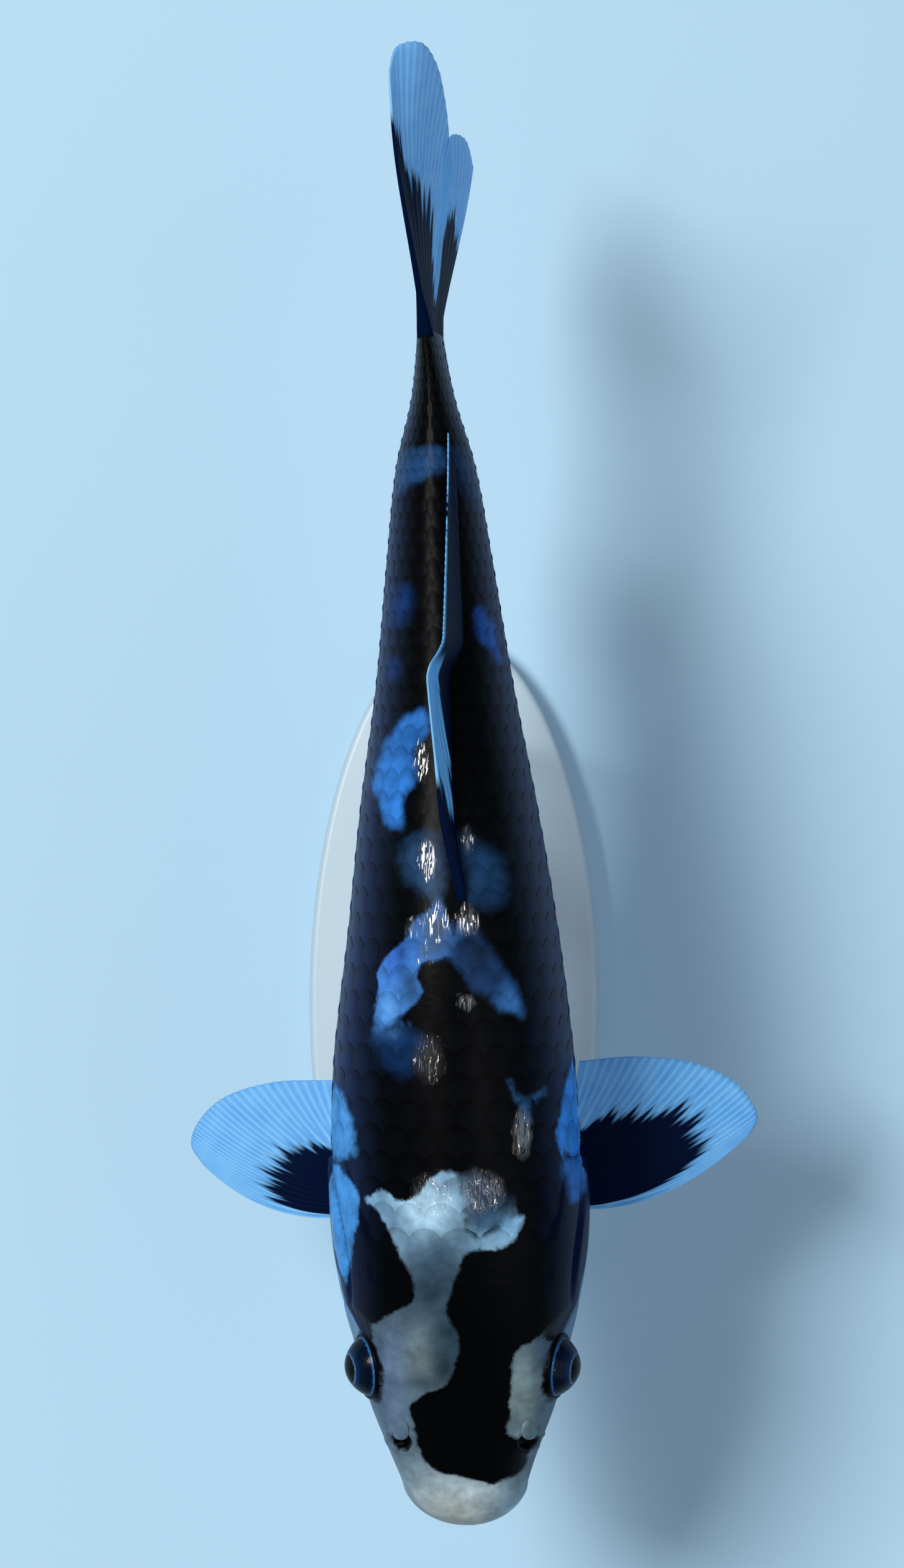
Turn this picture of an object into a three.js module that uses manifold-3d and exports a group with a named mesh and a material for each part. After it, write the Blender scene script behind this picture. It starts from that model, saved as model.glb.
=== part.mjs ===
// A young koi with the black-and-white Utsuri pattern, life size, as a still model on a display stand.
//
// Frame: millimetres, +Z up, the fish heading along -Y. The origin is the middle of the underside of
// the object's box. Left and right are the fish's own sides, so its left is +X.
// The body is one closed surface, worked out from the stations below and parted with thin cuts.
import * as THREE from 'three';
import { mergeVertices } from 'three/addons/utils/BufferGeometryUtils.js';
import Module from 'manifold-3d';

const wasm = await Module();
wasm.setup();

// ---------------------------------------------------------------- driving dimensions, mm

const GAP = 0.3;                 // the thin cut between two neighbouring pieces
const AXIS_HEIGHT = 98;          // the fish's long axis above the floor
const STAND_STATION = 121;       // the stand's middle, measured behind the snout
const FLANK_SEGMENTS = 28;       // facets around the body

// Stations of the body: distance behind the snout, half width, height of the back, of the belly
// and of the widest line above the long axis, and how far the swimming bend moves it sideways.
const STATIONS = [
  { at: 0, half: 12.7, back: 3, belly: -16, wide: -8, bend: 0.3 },
  { at: 9, half: 14.4, back: 7, belly: -20, wide: -7.5, bend: 0 },
  { at: 17, half: 17.2, back: 11.5, belly: -23, wide: -7, bend: -0.4 },
  { at: 29, half: 21.8, back: 17.5, belly: -26, wide: -6, bend: -0.6 },
  { at: 39, half: 24.6, back: 22, belly: -28.5, wide: -5, bend: -0.7 },
  { at: 53, half: 27.7, back: 27.5, belly: -31.5, wide: -4, bend: -1 },
  { at: 75, half: 30, back: 34, belly: -35, wide: -2.5, bend: -1.4 },
  { at: 92, half: 29.5, back: 38, belly: -37, wide: -1, bend: -2.3 },
  { at: 112, half: 28.4, back: 40.5, belly: -38, wide: 0, bend: -2.7 },
  { at: 141, half: 24.9, back: 41.3, belly: -37.3, wide: 1, bend: -2.9 },
  { at: 170, half: 21, back: 37.8, belly: -33.5, wide: 1.5, bend: -3.9 },
  { at: 199, half: 16.3, back: 31, belly: -27.5, wide: 1, bend: -4.9 },
  { at: 228, half: 12.6, back: 24, belly: -21.8, wide: 0.5, bend: -6.1 },
  { at: 250, half: 9.5, back: 19.3, belly: -18.2, wide: 0, bend: -7 },
  { at: 266, half: 5.3, back: 17.6, belly: -17.2, wide: 0, bend: -7.6 },
  { at: 281, half: 2.9, back: 17.5, belly: -17.5, wide: 0, bend: -8.3 },
];
const SNOUT_ROUNDING = 9;        // length over which the snout closes to a blunt nose
const NOSE_FLAT = 0.05;          // the body's first ring, just behind the very tip
const HEAD_END = 66;             // the nape, where the head meets the trunk
const TRUNK_END = 214;           // behind the vent, where the tail stalk starts
const BODY_END = 281;            // the root of the tail fin
const TAIL_ROLL = THREE.MathUtils.degToRad(13);     // how far the tail fin leans over to the right
const ROLL_FROM = 250;
const ROLL_TO = 330;

const EYE = { at: 39.3, out: 19.4, up: 5.5, radius: 8 };
const ORBIT = { at: 39.5, out: 18.6, up: 4, deep: 8.2, long: 10.6, high: 10 };
const NOSTRIL = { at: 22, out: 15.2, radius: 1.7, depth: 2.4 };
const JAW = { length: 17, line: -12.5, slope: 0.16 };
const GILL = { at: 66, up: -5, long: 22, high: 18, thick: 3, proud: 0.4 };

const DORSAL = { from: 146, to: 246, lean: 0.19, swing: 3.6, root: 3.2, edge: 0.8 };
const DORSAL_SWING = { frontTo: 170, frontShare: 0.6, rearFrom: 199, rearTo: 209 };
const ANAL = { from: 207, to: 224, root: 2.4, edge: 0.7 };
const FIN_CLEARANCE = 0.8;       // from a paired fin's root to the flank and its gill cover

const BASE = { halfLength: 92, halfWidth: 36, height: 8, bevel: 1.5 };
const ROD_RADIUS = 2.5;
const ROD_STATIONS = { front: 106, rear: 186 };

// ---------------------------------------------------------------- the body's surface

// Smooth value of one column of the stations at a distance behind the snout.
function station(column, distance) {
  const last = STATIONS.length - 1;
  const at = Math.min(distance, BODY_END);
  let i = 0;
  while (i < last - 1 && at > STATIONS[i + 1].at) i += 1;
  const slope = (k) => {
    const a = STATIONS[Math.max(k - 1, 0)];
    const b = STATIONS[Math.min(k + 1, last)];
    return (b[column] - a[column]) / (b.at - a.at);
  };
  const step = STATIONS[i + 1].at - STATIONS[i].at;
  const t = (at - STATIONS[i].at) / step;
  const h = t * t * (3 - 2 * t);
  return STATIONS[i][column] * (1 - h) + STATIONS[i + 1][column] * h
    + slope(i) * step * t * (1 - t) * (1 - t) - slope(i + 1) * step * t * t * (1 - t);
}

const roll = (at) => TAIL_ROLL * THREE.MathUtils.smoothstep(at, ROLL_FROM, ROLL_TO);

// A point given by its distance behind the snout, its offset to the left and its height above
// the long axis, moved with the body's bend and the tail's roll.
function place(at, out, up) {
  const turn = roll(at);
  return new THREE.Vector3(
    station('bend', at) + out * Math.cos(turn) - up * Math.sin(turn),
    at - STAND_STATION,
    AXIS_HEIGHT + out * Math.sin(turn) + up * Math.cos(turn),
  );
}

// Half width and height of the section in the direction (c, s) from the widest line.
function sectionPoint(at, c, s, extra) {
  const closing = Math.sqrt(1 - Math.pow(1 - Math.min(at / SNOUT_ROUNDING, 1), 2));
  const square = THREE.MathUtils.lerp(0.84, 0.96, THREE.MathUtils.smoothstep(at, 50, 100));
  const wide = station('wide', at);
  const reach = s > 0 ? station('back', at) - wide : wide - station('belly', at);
  const size = (length) => Math.max(length * closing + extra, 0.2);
  const bend = (value) => Math.sign(value) * Math.pow(Math.abs(value), square);
  return [size(station('half', at)) * bend(c), wide + size(reach) * bend(s)];
}

// ---------------------------------------------------------------- solids and meshes

// A closed solid from a geometry whose vertices are first moved by a function.
function solid(geometry, move) {
  geometry.deleteAttribute('normal');
  geometry.deleteAttribute('uv');
  let merged = mergeVertices(geometry, 1e-4);
  const position = merged.attributes.position;
  if (move) {
    const v = new THREE.Vector3();
    for (let i = 0; i < position.count; i += 1) {
      const moved = move(v.fromBufferAttribute(position, i));
      position.setXYZ(i, moved.x, moved.y, moved.z);
    }
    merged = mergeVertices(merged, 1e-4);
  }
  const triVerts = Uint32Array.from(merged.index.array);
  const vertProperties = Float32Array.from(merged.attributes.position.array);
  if (signedVolume(vertProperties, triVerts) < 0) {
    for (let t = 0; t < triVerts.length; t += 3) {
      [triVerts[t], triVerts[t + 1]] = [triVerts[t + 1], triVerts[t]];
    }
  }
  return new wasm.Manifold(new wasm.Mesh({ numProp: 3, vertProperties, triVerts }));
}

function signedVolume(vertices, triangles) {
  const corner = (k) => new THREE.Vector3().fromArray(vertices, 3 * triangles[k]);
  let sum = 0;
  for (let t = 0; t < triangles.length; t += 3) {
    sum += corner(t).dot(corner(t + 1).cross(corner(t + 2)));
  }
  return sum / 6;
}

// The body between two stations, grown by extra all round.
function bodySolid(from, to, rings, extra = 0) {
  const crowding = from === NOSE_FLAT ? 1.7 : 1;
  const tube = new THREE.CylinderGeometry(1, 1, 1, FLANK_SEGMENTS, rings);
  return solid(tube, (v) => {
    const at = from + (to - from) * Math.pow(v.y + 0.5, crowding);
    const radius = Math.hypot(v.x, v.z);
    if (radius < 0.5) return place(at, 0, station('wide', at));
    const [out, up] = sectionPoint(at, v.x / radius, v.z / radius, extra);
    return place(at, out, up);
  });
}

function ellipsoid(at, out, up, long, wide, high, detail = 16) {
  const ball = new THREE.SphereGeometry(1, detail, Math.round(detail * 0.6));
  return solid(ball, (v) => place(at, out, up).add(new THREE.Vector3(v.x * wide, v.y * long, v.z * high)));
}

// A fin: a sheet over rays (u runs from the root to the margin, v from the first ray to the last),
// with the thickness of its root tapering to that of its edge.
function finSolid(rays, steps, point, thickness) {
  const sheet = new THREE.BoxGeometry(1, 1, 1, steps, rays, 1);
  const tiny = 1e-3;
  return solid(sheet, (p) => {
    const u = p.x + 0.5;
    const v = p.y + 0.5;
    const along = point(Math.min(u + tiny, 1), v).sub(point(Math.max(u - tiny, 0), v));
    const across = point(u, Math.min(v + tiny, 1)).sub(point(u, Math.max(v - tiny, 0)));
    const normal = along.cross(across).normalize();
    return point(u, v).addScaledVector(normal, Math.sign(p.z) * thickness(u, v) / 2);
  });
}

const taper = (root, edge) => (u) => THREE.MathUtils.lerp(root, edge, Math.min(u * 1.6, 1));

const group = new THREE.Group();

function addNode(name, manifold, finish) {
  const result = manifold.getMesh();
  const geometry = new THREE.BufferGeometry();
  const vertices = Float32Array.from(result.vertProperties);
  geometry.setAttribute('position', new THREE.BufferAttribute(vertices, result.numProp));
  geometry.setIndex(Array.from(result.triVerts));
  geometry.computeVertexNormals();
  const mesh = new THREE.Mesh(geometry, new THREE.MeshStandardMaterial(finish));
  mesh.name = name;
  group.add(mesh);
}

const BLACK_SKIN = { color: 0x0b0e14, roughness: 0.35, metalness: 0 };
const WHITE_SKIN = { color: 0xb9c3c4, roughness: 0.4, metalness: 0 };
const FIN = { color: 0xa9c6dc, roughness: 0.35, metalness: 0 };
const EYE_BLACK = { color: 0x05070b, roughness: 0.08, metalness: 0 };
const BASE_PAINT = { color: 0xa8bfcf, roughness: 0.5, metalness: 0 };
const STEEL = { color: 0xb8bcc0, roughness: 0.3, metalness: 1 };

const SIDES = [{ name: 'left', way: 1 }, { name: 'right', way: -1 }];

// ---------------------------------------------------------------- head, trunk and tail stalk

// A gill cover's outline, as a prism standing out to one side from near the midline.
function gillPrism(way, extra) {
  const outline = new THREE.Shape();
  outline.absellipse(0, 0, GILL.long + extra, GILL.high + extra, 0, 2 * Math.PI);
  const reach = { from: 12, to: 45 };
  const prism = new THREE.ExtrudeGeometry(outline, {
    depth: reach.to - reach.from, bevelEnabled: false, curveSegments: 9,
  });
  return solid(prism, (v) => new THREE.Vector3(
    way * (v.z + reach.from),
    GILL.at + v.x - STAND_STATION,
    AXIS_HEIGHT + GILL.up + v.y,
  ));
}

// The lower jaw's space: a box under the sloping mouth line, in front of the jaw's hinge.
function jawBlock(extra) {
  const box = new THREE.BoxGeometry(1, 1, 1);
  return solid(box, (v) => {
    const at = v.y > 0 ? JAW.length + extra : -5;
    const up = v.z > 0 ? JAW.line - JAW.slope * at + extra : -60;
    return new THREE.Vector3(v.x * 80, at - STAND_STATION, AXIS_HEIGHT + up);
  });
}

const innerBody = bodySolid(30, 110, 12, -GILL.thick - GAP);
const pockets = SIDES.map(({ way }) => gillPrism(way, GAP).subtract(innerBody));

let head = bodySolid(NOSE_FLAT, HEAD_END, 16);
for (const { way } of SIDES) {
  const { at, out, up, deep, long, high } = ORBIT;
  head = head.add(ellipsoid(at, way * out, up, long, deep, high));
  head = head.subtract(ellipsoid(EYE.at, way * EYE.out, EYE.up, ...Array(3).fill(EYE.radius + GAP)));
  const [, nostrilUp] = sectionPoint(NOSTRIL.at, 0.6, 0.8, 0);
  head = head.subtract(ellipsoid(
    NOSTRIL.at, way * NOSTRIL.out, nostrilUp, NOSTRIL.radius, NOSTRIL.radius, NOSTRIL.depth, 10,
  ));
}
for (const pocket of pockets) head = head.subtract(pocket);
addNode('lower_jaw', head.intersect(jawBlock(0)), WHITE_SKIN);
addNode('head', head.subtract(jawBlock(GAP)), BLACK_SKIN);

let trunk = bodySolid(HEAD_END + GAP, TRUNK_END, 14);
for (const pocket of pockets) trunk = trunk.subtract(pocket);
addNode('trunk', trunk, BLACK_SKIN);
addNode('tail_stalk', bodySolid(TRUNK_END + GAP, BODY_END, 8), BLACK_SKIN);

const plateInside = bodySolid(30, 110, 12, -GILL.thick);
const plateOutside = bodySolid(30, 110, 12, GILL.proud);
for (const { name, way } of SIDES) {
  const plate = gillPrism(way, 0).intersect(plateOutside).subtract(plateInside);
  addNode(`gill_cover_${name}`, plate, WHITE_SKIN);
}

// ---------------------------------------------------------------- eyes and barbels

for (const { name, way } of SIDES) {
  const ball = ellipsoid(EYE.at, way * EYE.out, EYE.up, ...Array(3).fill(EYE.radius));
  addNode(`eye_${name}`, ball, EYE_BLACK);
}

// Two pairs of barbels, on the upper lip and at the corners of the mouth: where each one grows
// from (below: degrees under the widest line) and how far its tip trails back, down and outwards.
const BARBELS = [
  { name: 'front', at: 7, below: 30, back: 5, down: 4.2, spread: 2.4, root: 0.8 },
  { name: 'rear', at: 15, below: 35, back: 10, down: 6.5, spread: 2.6, root: 1.1 },
];
const BARBEL_TIP = 0.4;
const fullBody = bodySolid(NOSE_FLAT, BODY_END, 32, GAP);

for (const { name, way } of SIDES) {
  for (const barbel of BARBELS) {
    const angle = THREE.MathUtils.degToRad(-barbel.below);
    const [footOut, footUp] = sectionPoint(barbel.at, Math.cos(angle), Math.sin(angle), -0.4);
    const taperedRod = new THREE.CylinderGeometry(1, 1, 1, 6, 6);
    const feeler = solid(taperedRod, (v) => {
      const t = v.y + 0.5;
      const radius = THREE.MathUtils.lerp(barbel.root, BARBEL_TIP, t);
      return place(
        barbel.at + barbel.back * t + v.x * radius * 0.6,
        way * (footOut + barbel.spread * Math.sin(Math.PI * 0.5 * t) + v.z * radius),
        footUp - barbel.down * t * t - t * 0.8 + v.x * radius * 0.8,
      );
    });
    addNode(`barbel_${barbel.name}_${name}`, feeler.subtract(fullBody), WHITE_SKIN);
  }
}

// ---------------------------------------------------------------- fins

// A smooth curve through a few corners, each [behind the snout, offset to the left, height].
function curveThrough(corners) {
  const points = corners.map(([at, out, up]) => new THREE.Vector3(at, out, up));
  return new THREE.CatmullRomCurve3(points, false, 'centripetal');
}

// A fan of rays from a short root to a margin. Each ray bows through a control point.
function fanPoint(root, bow, margin) {
  return (u, v) => {
    const a = root.getPoint(v);
    const b = bow.getPoint(v);
    const c = margin.getPoint(v);
    const p = a.multiplyScalar((1 - u) * (1 - u))
      .addScaledVector(b, 2 * u * (1 - u))
      .addScaledVector(c, u * u);
    return place(p.x, p.y, p.z);
  };
}

// Each pectoral fin is spread to its side; the left one is swept a little further back.
const PECTORALS = {
  left: {
    root: [[75, 20, -24], [84, 22, -25]],
    bow: [[69, 46, -22], [83, 42, -20], [97, 28, -21]],
    margin: [
      [91.9, 70.7, -27], [95.5, 72.6, -27], [102.8, 68.8, -26.4], [108.4, 58.5, -25.4],
      [110.3, 44.5, -24], [109.2, 30, -24],
    ],
  },
  right: {
    root: [[73, -20, -24], [82, -22, -25]],
    bow: [[67.5, -45, -22], [80, -40, -20], [93, -28, -21]],
    margin: [
      [84.3, -61, -27], [89, -63.6, -27], [94, -62, -26.6], [100, -56, -25.6],
      [104, -44, -24], [104.6, -29, -24],
    ],
  },
};
for (const { name } of SIDES) {
  const { root, bow, margin } = PECTORALS[name];
  const point = fanPoint(curveThrough(root), curveThrough(bow), curveThrough(margin));
  const fin = finSolid(12, 7, point, taper(3, 0.8)).subtract(
    bodySolid(40, 150, 18, FIN_CLEARANCE),
  );
  addNode(`pectoral_fin_${name}`, fin, FIN);
}

for (const { name, way } of SIDES) {
  const point = fanPoint(
    curveThrough([[141, way * 9, -33], [147, way * 7, -33]]),
    curveThrough([[152, way * 16, -41], [156, way * 11, -42], [158, way * 6, -40]]),
    curveThrough([
      [176, way * 18, -43], [179, way * 14, -45.5], [177, way * 8.5, -46], [171, way * 4.5, -43],
    ]),
  );
  const fin = finSolid(7, 5, point, taper(2.4, 0.7)).subtract(bodySolid(120, 200, 12, GAP));
  addNode(`pelvic_fin_${name}`, fin, FIN);
}

// The dorsal fin is folded back along the body and leans over to the right. Its foot starts and
// ends a little to the left of the body's bend.
const dorsalMargin = curveThrough([
  [203, 0, 52], [207, 0, 48.5], [216, 0, 42.5], [230, 0, 34], [246, 0, 25], [257, 0, 20.2],
]);
function dorsalPoint(u, v) {
  const at = THREE.MathUtils.lerp(DORSAL.from, DORSAL.to, v);
  const foot = new THREE.Vector3(at, 0, station('back', at) - 1.5);
  const tip = dorsalMargin.getPoint(v);
  const p = foot.lerp(tip, u);
  p.z += 3 * Math.sin(Math.PI * u) * (1 - v);
  const height = Math.max(p.z - station('back', p.x), 0);
  const { frontTo, frontShare, rearFrom, rearTo } = DORSAL_SWING;
  const front = 1 - THREE.MathUtils.smoothstep(p.x, DORSAL.from, frontTo);
  const rear = THREE.MathUtils.smoothstep(p.x, rearFrom, rearTo);
  return place(p.x, DORSAL.swing * (frontShare * front + rear) - DORSAL.lean * height, p.z);
}
const dorsal = finSolid(16, 6, dorsalPoint, taper(DORSAL.root, DORSAL.edge));
addNode('dorsal_fin', dorsal.subtract(bodySolid(130, BODY_END, 18, GAP)), FIN);

const analMargin = curveThrough([[236, 0, -39.5], [239, 0, -36], [240, 0, -30], [239, 0, -25]]);
function analPoint(u, v) {
  const at = THREE.MathUtils.lerp(ANAL.from, ANAL.to, v);
  const p = new THREE.Vector3(at, 0, station('belly', at) + 1.5).lerp(analMargin.getPoint(v), u);
  p.z -= 3.5 * Math.sin(Math.PI * u) * (1 - v);
  return place(p.x, 0, p.z);
}
const anal = finSolid(7, 5, analPoint, taper(ANAL.root, ANAL.edge));
addNode('anal_fin', anal.subtract(bodySolid(190, BODY_END, 12, GAP)), FIN);

// The tail fin: an upper lobe trailing straight back, its rear edge swung over to the left, and a
// lower lobe pointing further down.
const tailMargin = curveThrough([
  [339, 0, 41.5], [344.5, 1.5, 40.5], [346, 6, 36], [342, 8, 28.5], [333, 8, 18.5], [323.5, 6.5, 8],
  [318, 5.2, 0], [318, 3.5, -8], [321.5, 0.5, -18], [328, -3, -27], [332, -2.5, -35], [331, -1, -42],
  [325, 0, -45.5],
]);
function tailPoint(u, v) {
  const up = THREE.MathUtils.lerp(1, -1, v);
  const margin = tailMargin.getPoint(v);
  const p = new THREE.Vector3(BODY_END + GAP, 0, up * 17).lerp(margin, u);
  p.y = margin.y * u * u;
  p.z += 3.2 * Math.sin(Math.PI * u) * up * Math.abs(up);
  return place(p.x, p.y, p.z);
}
const tailThickness = (u) => Math.max(THREE.MathUtils.lerp(4.6, 1.8, Math.min(u * 6, 1)) - u * 1.1, 0.7);
addNode('tail_fin', finSolid(22, 9, tailPoint, tailThickness), FIN);

// ---------------------------------------------------------------- display stand

const oval = new THREE.Shape();
oval.absellipse(0, 0, BASE.halfWidth - BASE.bevel, BASE.halfLength - BASE.bevel, 0, 2 * Math.PI);
const plinth = new THREE.ExtrudeGeometry(oval, {
  depth: BASE.height - 2 * BASE.bevel,
  bevelThickness: BASE.bevel,
  bevelSize: BASE.bevel,
  bevelSegments: 2,
  curveSegments: 16,
});
const baseSide = station('bend', STAND_STATION);
addNode('stand_base', solid(plinth, (v) => v.set(v.x + baseSide, v.y, v.z + BASE.bevel)), BASE_PAINT);

for (const [name, at] of Object.entries(ROD_STATIONS)) {
  const foot = BASE.height + GAP;
  const rod = new THREE.CylinderGeometry(ROD_RADIUS, ROD_RADIUS, AXIS_HEIGHT - foot, 16);
  rod.rotateX(Math.PI / 2);
  rod.translate(station('bend', at), at - STAND_STATION, (AXIS_HEIGHT + foot) / 2);
  addNode(`stand_rod_${name}`, solid(rod).subtract(fullBody), STEEL);
}

// The origin goes to the middle of the underside of the whole box.
const box = new THREE.Box3().setFromObject(group);
const middle = box.getCenter(new THREE.Vector3());
group.position.set(-middle.x, -middle.y, -box.min.z);

export default group;
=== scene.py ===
import math

import bmesh
import bpy
import numpy as np
from bpy.props import FloatProperty, FloatVectorProperty, IntProperty, PointerProperty
from mathutils import Matrix, Vector


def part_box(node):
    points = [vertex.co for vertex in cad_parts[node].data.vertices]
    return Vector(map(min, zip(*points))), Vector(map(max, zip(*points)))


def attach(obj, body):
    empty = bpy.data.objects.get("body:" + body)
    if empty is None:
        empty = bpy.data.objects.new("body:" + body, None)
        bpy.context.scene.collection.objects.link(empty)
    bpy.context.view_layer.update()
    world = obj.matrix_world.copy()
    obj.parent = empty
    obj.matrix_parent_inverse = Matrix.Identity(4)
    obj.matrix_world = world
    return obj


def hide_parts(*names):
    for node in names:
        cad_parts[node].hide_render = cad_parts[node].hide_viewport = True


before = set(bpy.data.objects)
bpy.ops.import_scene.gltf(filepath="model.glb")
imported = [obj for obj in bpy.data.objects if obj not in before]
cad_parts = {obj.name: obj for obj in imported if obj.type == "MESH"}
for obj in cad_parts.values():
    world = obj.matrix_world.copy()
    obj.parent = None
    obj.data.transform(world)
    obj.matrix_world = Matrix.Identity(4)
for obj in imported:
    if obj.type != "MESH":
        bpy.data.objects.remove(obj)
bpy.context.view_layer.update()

bl_info = {
    "name": "Koi model on a display stand",
    "version": (1, 0, 0),
    "blender": (4, 5, 0),
    "location": "View3D > Sidebar > Koi",
    "description": "Skin, scales, fins, eyes and stand of a life-size young koi",
    "category": "Object",
}

# ------------------------------------------------------------------ the fish's own frame
# Lengths along the fish are in millimetres: "at" is the distance behind the snout, "out" the
# offset to the fish's left and "up" the height above its long axis. Angles around the body
# start at the middle of the back and grow to the left, so 90 degrees is the left flank.

MM = 0.001
BODY_END = 281.0
STAND_STATION = 121.0
EYE_HEIGHT = 5.5
TAIL_ROLL = math.radians(13)
COLUMNS = ("half", "back", "belly", "wide", "bend")
STATIONS = np.array([
    (0, 12.7, 3, -16, -8, 0.3),
    (9, 14.4, 7, -20, -7.5, 0),
    (17, 17.2, 11.5, -23, -7, -0.4),
    (29, 21.8, 17.5, -26, -6, -0.6),
    (39, 24.6, 22, -28.5, -5, -0.7),
    (53, 27.7, 27.5, -31.5, -4, -1),
    (75, 30, 34, -35, -2.5, -1.4),
    (92, 29.5, 38, -37, -1, -2.3),
    (112, 28.4, 40.5, -38, 0, -2.7),
    (141, 24.9, 41.3, -37.3, 1, -2.9),
    (170, 21, 37.8, -33.5, 1.5, -3.9),
    (199, 16.3, 31, -27.5, 1, -4.9),
    (228, 12.6, 24, -21.8, 0.5, -6.1),
    (250, 9.5, 19.3, -18.2, 0, -7),
    (266, 5.3, 17.6, -17.2, 0, -7.6),
    (281, 2.9, 17.5, -17.5, 0, -8.3),
])
SNOUT_ROUNDING = 9.0


def smooth(x, start, end):
    t = np.clip((x - start) / (end - start), 0, 1)
    return t * t * (3 - 2 * t)


def mix(a, b, t):
    return a + (b - a) * t


def station(column, at):
    """Smooth value of one column of the stations at a distance behind the snout."""
    at = np.minimum(np.asarray(at, float), BODY_END)
    x = STATIONS[:, 0]
    y = STATIONS[:, 1 + COLUMNS.index(column)]
    slope = np.gradient(y, x, edge_order=1)
    slope[1:-1] = (y[2:] - y[:-2]) / (x[2:] - x[:-2])
    i = np.clip(np.searchsorted(x, at, side="right") - 1, 0, len(x) - 2)
    step = x[i + 1] - x[i]
    t = (at - x[i]) / step
    h = t * t * (3 - 2 * t)
    ends = y[i] * (1 - h) + y[i + 1] * h
    return ends + slope[i] * step * t * (1 - t) ** 2 - slope[i + 1] * step * t * t * (1 - t)


base_low, base_high = (np.array(corner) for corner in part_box("stand_base"))
eye_low, eye_high = (np.array(corner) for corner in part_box("eye_left"))
ORIGIN = np.array([
    (base_low[0] + base_high[0]) / 2 / MM - station("bend", STAND_STATION),
    (base_low[1] + base_high[1]) / 2 / MM - STAND_STATION,
    (eye_low[2] + eye_high[2]) / 2 / MM - EYE_HEIGHT,
])


def place(at, out, up):
    """Metres in the shared frame, with the body's bend and the tail's roll."""
    turn = TAIL_ROLL * smooth(at, 250, 330)
    x = station("bend", at) + out * np.cos(turn) - up * np.sin(turn)
    z = out * np.sin(turn) + up * np.cos(turn)
    return (ORIGIN + np.stack([x, at + 0 * x, z], axis=-1)) * MM


def section(at, angle, lift):
    """Offset and height of the body's surface at an angle, raised by lift along its normal."""
    c, s = np.sin(angle), np.cos(angle)
    closing = np.sqrt(1 - (1 - np.minimum(at / SNOUT_ROUNDING, 1)) ** 2)
    square = mix(0.84, 0.96, smooth(at, 50, 100))
    wide = station("wide", at)
    reach = np.where(s > 0, station("back", at) - wide, wide - station("belly", at)) * closing
    half = station("half", at) * closing
    out = half * np.sign(c) * np.abs(c) ** square
    up = wide + reach * np.sign(s) * np.abs(s) ** square
    lean = np.stack([c / np.maximum(half, 0.2), s / np.maximum(reach, 0.2)], axis=-1)
    lean = lean / np.linalg.norm(lean, axis=-1, keepdims=True)
    return out + lean[..., 0] * lift, up + lean[..., 1] * lift


def curve_through(corners, t):
    """Points at t = 0..1 on a centripetal curve through a few corners."""
    p = np.array(corners, float)
    if len(p) == 2:
        return p[0] + (p[1] - p[0]) * np.asarray(t)[:, None]
    p = np.vstack([2 * p[0] - p[1], p, 2 * p[-1] - p[-2]])
    spot = np.clip(np.asarray(t, float), 0, 1) * (len(corners) - 1)
    i = np.minimum(spot.astype(int), len(corners) - 2)
    w = (spot - i)[:, None]
    a, b, c, d = p[i], p[i + 1], p[i + 2], p[i + 3]
    gap = [np.sqrt(np.linalg.norm(q - r, axis=1, keepdims=True)) for q, r in ((b, a), (c, b), (d, c))]
    start = ((b - a) / gap[0] - (c - a) / (gap[0] + gap[1]) + (c - b) / gap[1]) * gap[1]
    end = ((c - b) / gap[1] - (d - b) / (gap[1] + gap[2]) + (d - c) / gap[2]) * gap[1]
    h = w * w * (3 - 2 * w)
    return b * (1 - h) + c * h + start * w * (1 - w) ** 2 - end * w * w * (1 - w)


# ------------------------------------------------------------------ markings
# White patches on the black body: a colour, then the outline seen from above as
# (at, out) corners in millimetres, joined by a smooth closed curve.

def linear(hex_colour):
    """An sRGB hex colour as a linear RGBA tuple."""
    channels = [int(hex_colour[i:i + 2], 16) / 255 for i in (1, 3, 5)]
    return tuple(c / 12.92 if c <= 0.04045 else ((c + 0.055) / 1.055) ** 2.4 for c in channels) + (1.0,)


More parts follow.
